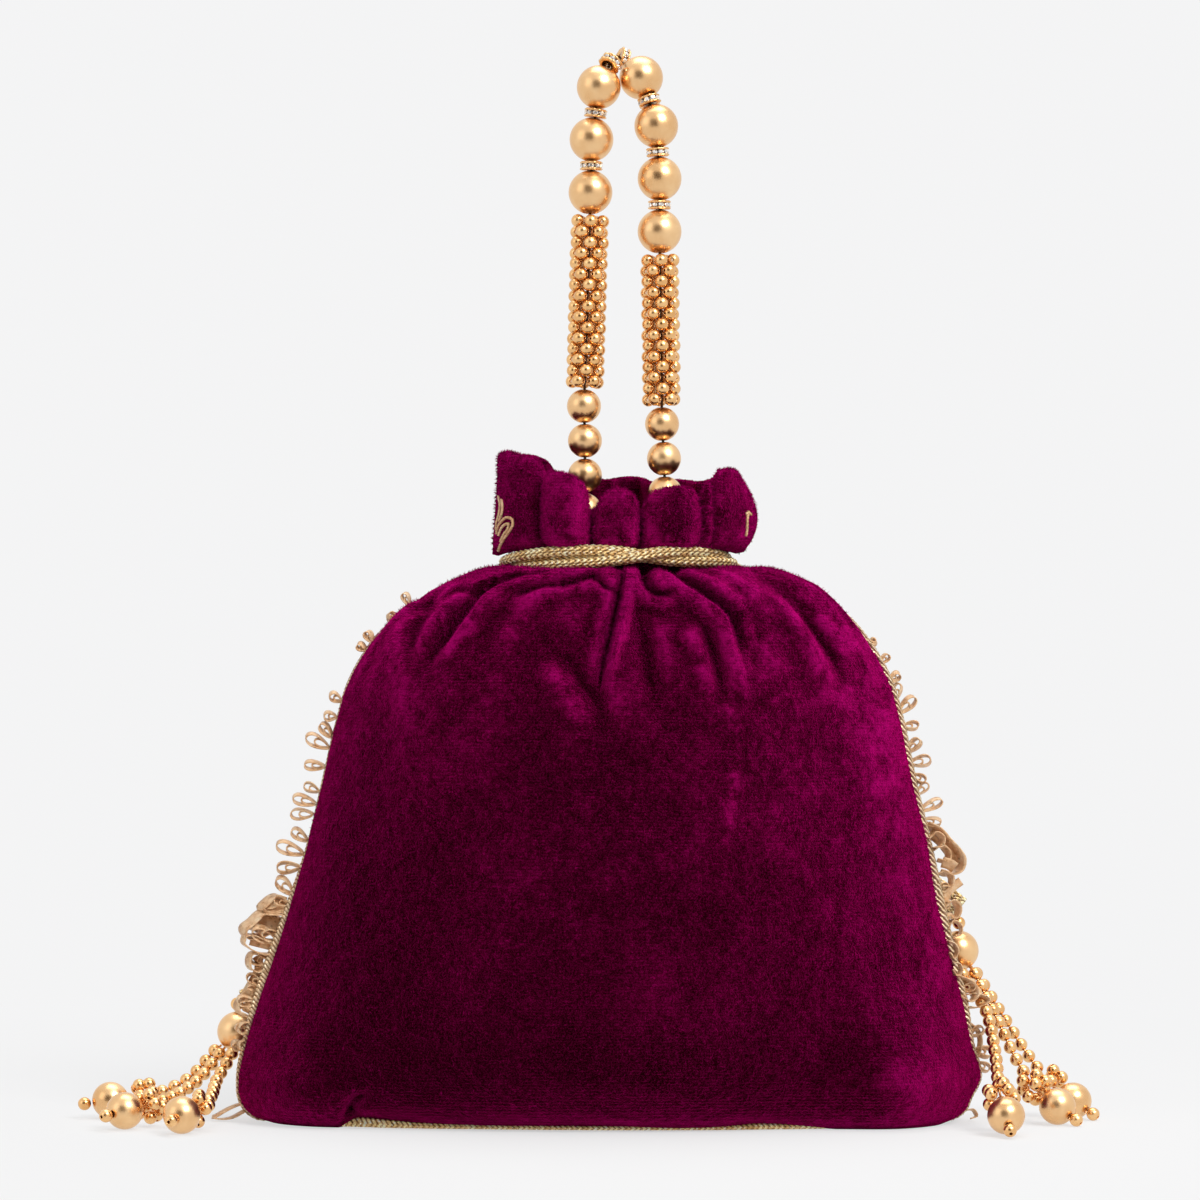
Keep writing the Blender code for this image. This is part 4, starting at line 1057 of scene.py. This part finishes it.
def build_handle():
    for side, big_beads, tube_rows, phase in (("left", 3, 16, -13), ("right", 4, 14, 23)):
        names = [f"middle_bead_{side}_{number}" for number in (1, 2, 3)] + [f"bead_tube_{side}"]
        names += [f"{kind}_{side}_{number}" for number in range(1, big_beads + 1)
                  for kind in ("big_bead", "rondelle")]
        centres = [middle_of(name) for name in names]
        other = middle_of("rondelle_left_3" if side == "right" else "rondelle_right_4")
        centres = [centres[0] - UP * 0.01] + centres + [other]
        for number, node in enumerate(names, 1):
            before, here, after = centres[number - 1:number + 2]
            axis = (after - before).normalized()
            if node.startswith("middle"):
                single_bead("fine_" + node, node, axis, MIDDLE_BEAD, "handle")
            elif node.startswith("big"):
                single_bead("fine_" + node, node, axis, BIG_BEAD, "handle")
            elif node.startswith("rondelle"):
                if number == len(names):
                    axis = ((here - before).normalized() + (after - here).normalized()).normalized()
                rondelle("fine_" + node, node, axis)
            else:
                bead_tube("fine_" + node, node, tube_rows, axis, phase)
        single_bead(f"fine_anchor_bead_{side}", f"anchor_bead_{side}", UP, ANCHOR_BEAD, "bag")


build_handle()


# Tassels

LEFT_STRINGS = [
    [(-.1148, .0145, .0186), (-.1220, .0130, .0110), (-.1320, .0100, .0068), (-.1440, .0080, .0053)],
    [(-.1130, .0102, .0180), (-.1190, .0030, .0110), (-.1270, -.0095, .0070), (-.1370, -.0215, .0053)],
    [(-.1091, .0075, .0184), (-.1127, .0000, .0120), (-.1140, -.0150, .0075), (-.1200, -.0330, .0053)],
]
RIGHT_STRINGS = [
    [(.1057, .0164, .0408), (.1130, .0170, .0290), (.1200, .0145, .0180), (.1270, .0100, .0090),
     (.1325, .0060, .0053)],
    [(.1048, .0112, .0410), (.1105, .0050, .0290), (.1155, .0000, .0180), (.1210, -.0050, .0095),
     (.1265, -.0095, .0053)],
    [(.1012, .0092, .0410), (.1068, -.0005, .0320), (.1085, -.0135, .0210), (.1085, -.0270, .0120),
     (.1095, -.0390, .0058)],
]
CLUSTER_LENGTH = 7.6 * MM
FIRST_GAP = 0.6 * MM


def bead_string(name, node, points):
    """A string of small round beads that ends in a loose cluster of them before its end bead."""
    line = np.array(through(points, 12))
    along = lengths_along(line)
    straight = along[-1] - END_BEAD / 2 - GAP - CLUSTER_LENGTH
    beads = max(2, int((straight - FIRST_GAP) / SMALL_BEAD))
    pitch = (straight - FIRST_GAP) / beads
    gathered = Builder()

    def at(distance):
        place = Vector(smooth_through(along, line, [distance])[0])
        ahead = Vector(smooth_through(along, line, [min(distance + 1 * MM, along[-1])])[0]) - place
        return place, ahead.normalized()

    for number in range(beads):
        place, ahead = at(FIRST_GAP + (number + 0.5) * pitch)
        gathered.add(*bead_form(place, ahead, SMALL_BEAD, SMALL_HOLE, 20, 12))
    for row, (count, reach) in enumerate(((4, 3.3), (5, 3.6))):
        place, ahead = at(straight + SMALL_BEAD * (0.45 + 0.86 * row))
        side = ahead.cross(UP).normalized()
        above = side.cross(ahead)
        for number in range(count):
            angle = 2 * math.pi * (number + 0.5 * row) / count + chance.uniform(-0.25, 0.25)
            centre = place + (side * math.cos(angle) + above * math.sin(angle)) * reach * MM
            centre += ahead * chance.uniform(-0.5, 0.5) * MM
            centre.z = max(centre.z, SMALL_BEAD / 2 + 0.05 * MM)
            way = Vector((chance.uniform(-1, 1), chance.uniform(-1, 1), chance.uniform(-1, 1))).normalized()
            gathered.add(*bead_form(centre, way, SMALL_BEAD, SMALL_HOLE, 20, 12))
    gathered.add(*tube(resampled(line, 1.5 * MM), 0.35 * MM, 6))
    return belonging(gathered.finish(name, SMALL_GOLD), "bag", node)


def build_tassel(side, centre, routes):
    pieces = [single_bead(f"fine_tassel_bead_{side}", f"tassel_bead_{side}", UP, TASSEL_BEAD, "bag"),
              single_bead(f"fine_tassel_collar_{side}", f"tassel_collar_{side}", UP, SMALL_BEAD, "bag",
                          SMALL_HOLE)]
    for number, points in enumerate(routes, 1):
        way = (Vector(points[0]) - centre).normalized()
        route = [centre + way * (TASSEL_BEAD / 2 + GAP), *[Vector(point) for point in points]]
        pieces.append(bead_string(f"fine_string_{side}_{number}", f"tassel_string_{side}_{number}", route))
        ahead = (route[-1] - route[-2]).normalized()
        end, tip = f"tassel_end_bead_{side}_{number}", f"tassel_tip_{side}_{number}"
        pieces.append(single_bead("fine_" + end, end, ahead, END_BEAD, "bag"))
        pieces.append(single_bead("fine_" + tip, tip, ahead, SMALL_BEAD, "bag", SMALL_HOLE))
    return pieces


TASSELS = {"left": build_tassel("left", LEFT_TASSEL, LEFT_STRINGS),
           "right": build_tassel("right", RIGHT_TASSEL, RIGHT_STRINGS)}


# Braid over the seams, with ribbon loops

BRAID_WIDTH = 3.6 * MM
BRAID_THICKNESS = 1.1 * MM
BRAID_KNOT = 1.5 * MM
BRAID_SIDES = 14
# How far the braid's middle stands outside the cloth at each side: height, left, right, in mm
BRAID_OFFSETS = np.array([
    (0, 0.2, -0.2), (14, 0.2, -0.3), (26, 0.7, 0.4), (34, 1.3, 0.8), (52, 1.5, 1.4), (58, 0.9, 1.9),
    (70, -0.1, 1.7), (76, -0.5, 0.8), (130, -0.6, 0.4), (150, -0.6, -0.3),
])


def seam_points(offset=None):
    """The outline at the seams, this far outside the cloth, from the left top down, under the base and up
    again. Without an offset it is the braid's own."""
    rows = PROFILE[PROFILE[:, 0] < 147.5 * MM]
    lines = []
    for number, side in enumerate((rows[::-1, :2][:, ::-1] * (-1, 1), rows[:, [2, 0]]), 1):
        way = unit(np.gradient(side, axis=0))
        out = np.column_stack([way[:, 1], -way[:, 0]])
        apart = np.interp(side[:, 1], BRAID_OFFSETS[:, 0] * MM, BRAID_OFFSETS[:, number] * MM)
        lines.append(side + out * (apart[:, None] if offset is None else offset))
    under = np.array([(-93.5, 1.2), (-90.0, 1.8), (90.0, 1.8), (93.5, 1.2)]) * MM
    flat = np.vstack([lines[0], under, lines[1]])
    return np.column_stack([flat[:, 0], np.zeros(len(flat)), np.maximum(flat[:, 1], 0.75 * MM)])


def build_braid():
    line = resampled(seam_points(), 0.4 * MM)
    along = lengths_along(line)[:, None]
    ahead, _, _ = frames_along(line)
    across = np.array([0.0, 1.0, 0.0])
    inward = np.cross(ahead, across)
    levels, left, right = (BRAID_OFFSETS * MM).T
    apart = np.where(line[:, 0] < 0, np.interp(line[:, 2], levels, left),
                     np.interp(line[:, 2], levels, right))
    to_cloth = np.maximum(apart, 0.0)[:, None] + 0.5 * MM
    angles = turns(BRAID_SIDES)
    wide, thick = np.cos(angles)[None, :], np.sin(angles)[None, :]
    knot = np.abs(np.sin(math.pi * along / BRAID_KNOT + np.abs(wide) * 1.9))
    half_width = BRAID_WIDTH / 2 * (0.93 + 0.10 * np.abs(np.sin(math.pi * along / BRAID_KNOT)))
    depth = BRAID_THICKNESS / 2 * (0.72 + 0.38 * knot) * thick + to_cloth * (thick > 0.1)
    corners = (line[:, None, :] + (half_width * wide)[:, :, None] * across
               + depth[:, :, None] * inward[:, None, :]).reshape(-1, 3)
    braid = mesh_object("gold_braid", corners, capped_faces(len(line), BRAID_SIDES), BRAID_GOLD)
    belonging(braid, "bag", "seam_braid")


# Ribbon loops on the seams: pixel row of the photo at the loop's foot, reach and width in mm, tilt in degrees
LEFT_LOOPS = [
    (604, 3.4, 2.0, 62), (620, 2.4, 1.8, 40), (640, 3.0, 2.0, 20), (648, 2.4, 1.8, -10), (700, 3.6, 2.6, 12),
    (716, 3.4, 2.6, -14), (736, 4.6, 2.6, 38), (747, 7.2, 3.6, 14), (766, 5.6, 2.6, -8), (791, 4.4, 2.6, 12),
    (803, 6.6, 3.0, 2), (814, 6.4, 3.2, -12), (840, 5.2, 2.8, 22), (853, 8.0, 3.6, 4), (867, 6.4, 3.2, -16),
    (893, 6.2, 3.4, 30), (906, 4.4, 3.0, 10), (940, 7.8, 4.0, 6), (962, 6.4, 3.4, -4), (986, 5.4, 3.0, 16),
    (1002, 5.8, 3.2, -10), (1034, 4.2, 2.6, 24), (1046, 3.6, 2.4, -6),
]
RIGHT_LOOPS = [
    (645, 2.0, 1.6, 30), (662, 3.0, 2.0, 22), (680, 3.2, 2.2, 12), (699, 4.6, 2.4, 62), (712, 6.2, 3.0, 28),
    (726, 4.4, 2.4, -8), (751, 4.8, 2.6, 34), (763, 6.0, 3.2, 0), (775, 4.0, 2.4, -34), (794, 4.4, 2.4, 30),
    (810, 6.8, 2.6, 12), (820, 5.2, 2.4, -20), (893, 4.4, 2.6, 24), (905, 3.4, 2.4, 0), (917, 3.6, 2.4, -20),
    (990, 4.6, 2.8, 14), (1035, 4.0, 2.6, 20), (1050, 5.2, 3.0, -24), (1063, 3.8, 2.4, -40),
]


def ribbon(line, face, width, thick):
    """Corners and faces of a band of ribbon along a line, with its width in the direction face."""
    line, face = np.asarray(line, float), np.asarray(face, float)
    ahead = unit(np.gradient(line, axis=0))
    across = unit(face - ahead * (ahead @ face)[:, None])
    normal = np.cross(ahead, across)
    section = [(-1, 0.7), (-0.5, 1.0), (0.5, 1.0), (1, 0.7), (1, -0.7), (0.5, -1.0), (-0.5, -1.0), (-1, -0.7)]
    rows = [line + across * side * width / 2 + normal * edge * thick / 2 for side, edge in section]
    return np.stack(rows, axis=1).reshape(-1, 3), capped_faces(len(line), len(section))


def ribbon_loop(foot, out, along, reach, width, lean):
    """One loop of gauzy ribbon: a wide teardrop band that stands out of the seam, with an inner yarn loop."""
    made = []
    cross = out.cross(along).normalized()
    face = (cross * math.cos(lean) + (along * 0.8 + out * 0.2) * math.sin(lean)).normalized()
    for share, broad, thick in ((1.0, 2.3, 0.42), (0.62, 1.1, 0.5)):
        line = []
        for number in range(23):
            t = 2 * math.pi * number / 22
            swell = (1 - math.cos(t)) / 2
            line.append(foot + out * (reach * share * swell)
                        + along * (width / 2 * share * math.sin(t) * (0.45 + 0.75 * swell)))
        made.append(ribbon(line, face, broad * MM, thick * MM))
    return made


# Folded ribbon petals at the lower sides: pixels of the photo along the fold, the ribbon's width in mm, how
# far its face turns to the viewer in degrees, and how far behind the seam it lies in mm
PETALS = {
    "left": [
        ([(287, 898), (276, 896), (265, 903), (261, 908), (266, 913), (277, 911), (286, 908)], 4.6, 40, 1.5),
        ([(286, 903), (276, 902), (268, 907), (274, 909), (285, 906)], 3.6, 55, 0.5),
        ([(285, 914), (272, 913), (262, 913), (251, 922), (243, 930), (246, 936), (256, 936), (268, 932),
          (280, 931)], 5.4, 34, 1.0),
        ([(279, 925), (268, 922), (258, 926), (256, 932)], 5.0, 70, 2.5),
        ([(276, 931), (266, 929), (260, 933), (264, 939), (272, 942)], 3.0, 35, -1.0),
        ([(273, 946), (262, 939), (252, 935), (245, 936), (243, 942), (249, 948), (260, 953), (271, 954)],
         3.4, 30, -0.5),
        ([(270, 946), (258, 943), (250, 941)], 2.4, 75, 0.8),
        ([(267, 956), (258, 953), (251, 954), (248, 961), (250, 968), (257, 971), (265, 967)], 3.6, 32, 0.0),
        ([(263, 961), (256, 962), (262, 964)], 3.4, 70, 1.2),
        ([(262, 968), (256, 980), (249, 992), (244, 1001)], 3.8, 78, 1.5),
        ([(256, 984), (250, 984), (248, 987), (253, 990)], 1.6, 40, 0.0),
        ([(255, 1000), (247, 1000), (238, 1002), (237, 1009), (243, 1015), (251, 1018)], 3.6, 36, 0.5),
        ([(252, 1003), (245, 1008), (250, 1012)], 2.6, 60, -0.5),
        ([(250, 1022), (242, 1023), (238, 1029), (241, 1034), (247, 1032)], 1.8, 30, -2.0),
        ([(245, 1040), (240, 1042), (239, 1048), (244, 1051)], 1.6, 30, -2.0),
        ([(246, 1102), (232, 1107), (219, 1114), (213, 1118), (217, 1123), (229, 1118), (246, 1110)],
         2.6, 34, 0.0),
    ],
    "right": [
        ([(927, 825), (936, 830), (946, 841), (956, 852), (960, 859), (958, 869), (950, 874), (940, 872)],
         5.6, 36, 1.0),
        ([(930, 832), (940, 840), (950, 852), (956, 860)], 3.4, 70, 2.0),
        ([(928, 838), (935, 833), (942, 838), (940, 846), (932, 848)], 3.2, 34, -1.0),
        ([(933, 850), (940, 846), (948, 853), (947, 861), (937, 860)], 3.2, 34, -0.5),
        ([(942, 862), (949, 864), (955, 868)], 3.6, 60, -1.2),
        ([(936, 874), (944, 872), (951, 877), (950, 885), (941, 887)], 3.0, 36, 0.0),
        ([(943, 906), (946, 896), (953, 887), (961, 881)], 2.6, 74, 0.5),
        ([(944, 906), (952, 901), (958, 907), (956, 916), (947, 919)], 3.2, 40, 0.0),
        ([(947, 929), (953, 921), (960, 925), (960, 934), (952, 938)], 2.2, 28, -1.0),
        ([(948, 941), (954, 944), (957, 952), (953, 958), (949, 953)], 2.0, 34, -4.5),
        ([(953, 962), (959, 964), (961, 971), (956, 975), (952, 970)], 2.0, 34, -4.5),
        ([(955, 976), (964, 979), (972, 984), (976, 994), (970, 1001), (960, 998)], 3.0, 40, -1.0),
        ([(960, 996), (974, 994), (988, 1000), (978, 1007), (964, 1007)], 2.6, 36, -0.5),
        ([(970, 1024), (977, 1030), (980, 1044), (976, 1055), (971, 1048)], 2.2, 36, 0.0),
        ([(966, 1110), (973, 1110), (976, 1116), (970, 1119)], 1.8, 34, 0.0),
    ],
}


def petal(points, width, turn, depth):
    flat = np.array([pixel(px, py, depth) for px, py in points])
    line = resampled([(x, depth * MM, max(z, 0.8 * MM)) for x, z in flat], 0.5 * MM)
    way = Vector(line[-1] - line[0])
    level = Vector((0.0, 1.0, 0.0)).cross(way).normalized() if way.length > 2 * MM else UP
    angle = math.radians(turn)
    return ribbon(line, Vector((0.0, math.cos(angle), 0.0)) + level * math.sin(angle), width * MM, 0.40 * MM)


def build_loops():
    line = seam_points(0.6 * MM)
    for side, loops in ((-1, LEFT_LOOPS), (1, RIGHT_LOOPS)):
        half = line[(line[:, 0] * side > 0) & (line[:, 2] > 6 * MM)]
        half = half[np.argsort(half[:, 2])]
        gathered = Builder()
        for row, reach, width, tilt in loops:
            height = pixel(0, row, 0.0)[1]
            here = Vector((np.interp(height, half[:, 2], half[:, 0]), 0.0, height))
            above = Vector((np.interp(height + 2 * MM, half[:, 2], half[:, 0]), 0.0, height + 2 * MM))
            up = (above - here).normalized()
            out = Vector((up.z, 0.0, -up.x)) * side
            angle = math.radians(tilt)
            way = (out * math.cos(angle) + up * math.sin(angle)).normalized()
            way = (way + Vector((0.0, chance.uniform(-0.25, 0.25), 0.0))).normalized()
            along = (up * math.cos(angle) - out * math.sin(angle)).normalized()
            foot = here + Vector((0.0, chance.uniform(-0.6, 0.6) * MM, 0.0)) - out * 0.4 * MM
            lean = math.radians(chance.uniform(18, 42) * chance.choice((-1, 1)))
            for part in ribbon_loop(foot, way, along, reach * MM, width * MM, lean):
                gathered.add(*part)
        name = "left" if side < 0 else "right"
        for points, width, turn, depth in PETALS[name]:
            gathered.add(*petal(points, width, turn, depth))
        belonging(gathered.finish(f"ribbon_loops_{name}", RIBBON_GOLD), "bag")


THREAD_RADIUS = 0.42 * MM
THREAD_TWIST = 0.9 * MM
# Metal thread stitched on the frill, as pixels of the photo
EMBROIDERY = [
    [(498.5, 496), (500, 505), (499, 514), (496.5, 523), (496, 530)],
    [(501.5, 499), (502.5, 508), (501, 516), (499, 521)],
    [(496.5, 534), (498, 527), (502, 521), (507, 517.5), (512, 519.5), (512.5, 525), (510, 530), (504.5, 538),
     (500, 546), (498.5, 551)],
    [(498.5, 535.5), (501, 529), (505, 524.5), (508.5, 524), (508, 528), (504, 534), (500.5, 541.5)],
    [(748.5, 511), (747.2, 520), (747, 528), (746, 536)], [(746, 514), (748.5, 513), (751, 514.5)],
]


def build_embroidery():
    """Couched gold thread, laid on the velvet where a line from the camera to each pixel meets it."""
    tree = BVHTree.FromPolygons([corner.co for corner in BACK.data.vertices],
                                [tuple(face.vertices) for face in BACK.data.polygons])
    eye = bpy.context.scene.camera.location
    gathered = Builder()
    for stitches in EMBROIDERY:
        line = []
        for px, py in stitches:
            x, z = pixel(px, py, 0.0)
            way = (Vector((x, 0.0, z)) - eye).normalized()
            hit = tree.ray_cast(eye, way)[0] or tree.find_nearest(Vector((x, -6 * MM, z)))[0]
            line.append(hit - way * 0.35 * MM)
        line = resampled(line, 0.22 * MM)
        along = lengths_along(line)[:, None]
        twist = 1.0 + 0.18 * np.cos(2 * math.pi * along / THREAD_TWIST + turns(8)[None, :])
        gathered.add(*tube(line, THREAD_RADIUS * twist, 8))
    belonging(gathered.finish("frill_embroidery", RIBBON_GOLD), "bag")


# The seam's braid where it shows under the visible edge: x, distance in front of the seam's plane and height,
# in mm
UNDER_BRAID = [
    (-79, 13.5, 1.2), (-74.5, 14.6, 2.2), (-71, 15.4, 2.5), (-66, 17.0, 2.2), (-56, 19.0, 1.5),
    (-40, 21.0, 1.2), (-10, 23.6, 1.1), (18, 24.0, 1.0), (32, 23.2, 1.1), (41, 22.2, 1.6), (50, 21.2, 1.3),
    (60, 20.0, 0.9),
]


def build_under_braid():
    table = np.array(UNDER_BRAID) * MM
    line = resampled(table * (1, -1, 0.5) + (0, 0, 0.15 * MM), 0.4 * MM)
    heights = np.interp(line[:, 0], table[:, 0], table[:, 2])[:, None]
    angles = turns(BRAID_SIDES)[None, :]
    knot = np.abs(np.sin(math.pi * lengths_along(line)[:, None] / BRAID_KNOT + 1.7 * np.abs(np.sin(angles))))
    size = 0.82 + 0.24 * knot
    corners = np.stack([
        np.broadcast_to(line[:, :1], size.shape),
        line[:, 1:2] + 0.7 * MM * np.cos(angles) * size,
        np.maximum(line[:, 2:3] + heights * 0.62 * np.sin(angles) * size, 0.1 * MM),
    ], axis=2).reshape(-1, 3)
    obj = mesh_object("gold_braid_under_edge", corners, capped_faces(len(line), BRAID_SIDES), CORD_GOLD)
    # The knots' relief goes to the cord's material, which paints shade and highlights from it.
    belonging(with_values(obj, "relief", knot), "bag")


build_braid()
build_loops()
build_embroidery()
build_under_braid()


def dress_cad_nodes():
    """The thread and its stitched ends keep their solid shape and take the cord's material."""
    for node in ("handle_thread", "handle_anchor_left", "handle_anchor_right"):
        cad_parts[node].material_slots[0].material = CORD_GOLD


dress_cad_nodes()


# Stage and light

BACKGROUND = (0.905, 0.905, 0.910)
AMBIENT = 0.30
BAG_MIDDLE = Vector((0.0, 0.0, 0.12))
# How the floor's shadow ends: one over its reach in metres, how fast it fades, and how strong it is
SHADOW_FALL = 2.2
SHADOW_POWER = 1.5
SHADOW_SHARE = 0.48


def seen_directly(tree):
    """1 for camera, glossy and transmission rays, else 0."""
    paths = tree.nodes.new("ShaderNodeLightPath")
    total = paths.outputs["Is Camera Ray"]
    for name in ("Is Glossy Ray", "Is Transmission Ray"):
        joined = tree.nodes.new("ShaderNodeMath")
        joined.operation = "MAXIMUM"
        tree.links.new(total, joined.inputs[0])
        tree.links.new(paths.outputs[name], joined.inputs[1])
        total = joined.outputs[0]
    return total


def build_world():
    world = bpy.data.worlds.new("studio")
    bpy.context.scene.world = world
    world.use_nodes = True
    tree = world.node_tree
    tree.nodes.clear()
    ambient = tree.nodes.new("ShaderNodeBackground")
    ambient.inputs["Color"].default_value = (1.0, 1.0, 1.0, 1.0)
    ambient.inputs["Strength"].default_value = AMBIENT
    pale = tree.nodes.new("ShaderNodeBackground")
    pale.inputs["Color"].default_value = (*BACKGROUND, 1.0)
    mix = tree.nodes.new("ShaderNodeMixShader")
    tree.links.new(seen_directly(tree), mix.inputs[0])
    tree.links.new(ambient.outputs[0], mix.inputs[1])
    tree.links.new(pale.outputs[0], mix.inputs[2])
    tree.links.new(mix.outputs[0], tree.nodes.new("ShaderNodeOutputWorld").inputs["Surface"])


def flat_square(name, half_width, half_height, material):
    corners = [(-half_width, -half_height, 0), (half_width, -half_height, 0),
               (half_width, half_height, 0), (-half_width, half_height, 0)]
    return mesh_object(name, corners, [(0, 1, 2, 3)], material, smooth=False)


def build_floor():
    """A pale floor that shows the object's shadow near it and runs into the background further out."""
    made = Shader("pale floor", Specular_IOR_Level=0.0)
    tone = made.noise(5.0, 2.0, 0.5)
    made.finished(made.ramp(tone, (0.0, (0.893, 0.898, 0.895)), (1.0, (0.905, 0.910, 0.907))),
                  made.span(tone, 0.9, 1.0))
    where = made.node("ShaderNodeMapping", {"Vector": made.place, "Scale": (SHADOW_FALL,) * 3})
    gradient = made.node("ShaderNodeTexGradient", {"Vector": where.outputs["Vector"]},
                         gradient_type="SPHERICAL").outputs["Fac"]
    near = made.maths("MULTIPLY", made.maths("POWER", gradient, SHADOW_POWER), SHADOW_SHARE)
    share = made.maths("MULTIPLY", made.maths("SUBTRACT", 1.0, near), seen_directly(made.tree))
    glow = made.node("ShaderNodeEmission", {"Color": (*BACKGROUND, 1.0)})
    mix = made.node("ShaderNodeMixShader", {0: share, 1: made.principled.outputs[0], 2: glow.outputs[0]})
    made.feed(made.tree.nodes["Material Output"].inputs["Surface"], mix.outputs[0])
    flat_square("floor", 8, 8, made.material)


def aim(obj, place, side):
    """Puts an object at a place, with one of its sides towards the middle of the bag."""
    obj.location = place
    obj.rotation_euler = (BAG_MIDDLE - Vector(place)).to_track_quat(side, "Y").to_euler()


def area_light(name, place, size, power):
    light = bpy.data.lights.new(name, "AREA")
    light.shape = "RECTANGLE"
    light.size, light.size_y = size
    light.energy = power
    aim(link(name, light), place, "-Z")


def dark_card(name, place, size, shade):
    """A dark card that only reflections see, so that the metal has something to mirror."""
    made = Shader(name + " finish", Roughness=1.0, Specular_IOR_Level=0.0)
    tone = made.ramp(made.noise(1.5, 2.0, 0.5), (0.0, shade), (1.0, tuple(value * 1.3 for value in shade)))
    made.feed(made.principled.inputs["Base Color"], tone)
    obj = flat_square(name, size[0] / 2, size[1] / 2, made.material)
    aim(obj, place, "Z")
    for rays in ("camera", "diffuse", "transmission", "shadow"):
        setattr(obj, "visible_" + rays, False)


def build_stage():
    build_world()
    build_floor()
    area_light("key softbox", (0.85, -1.15, 1.45), (0.8, 0.8), 25.0)
    area_light("fill softbox", (-1.5, -0.9, 0.9), (1.0, 1.2), 2.2)
    area_light("top softbox", (0.1, 0.35, 1.9), (1.4, 1.1), 14.0)
    dark_card("front card", (-0.45, -2.2, 0.5), (1.7, 2.2), (0.16, 0.12, 0.09))
    bpy.context.scene.view_settings.view_transform = "Standard"


build_stage()
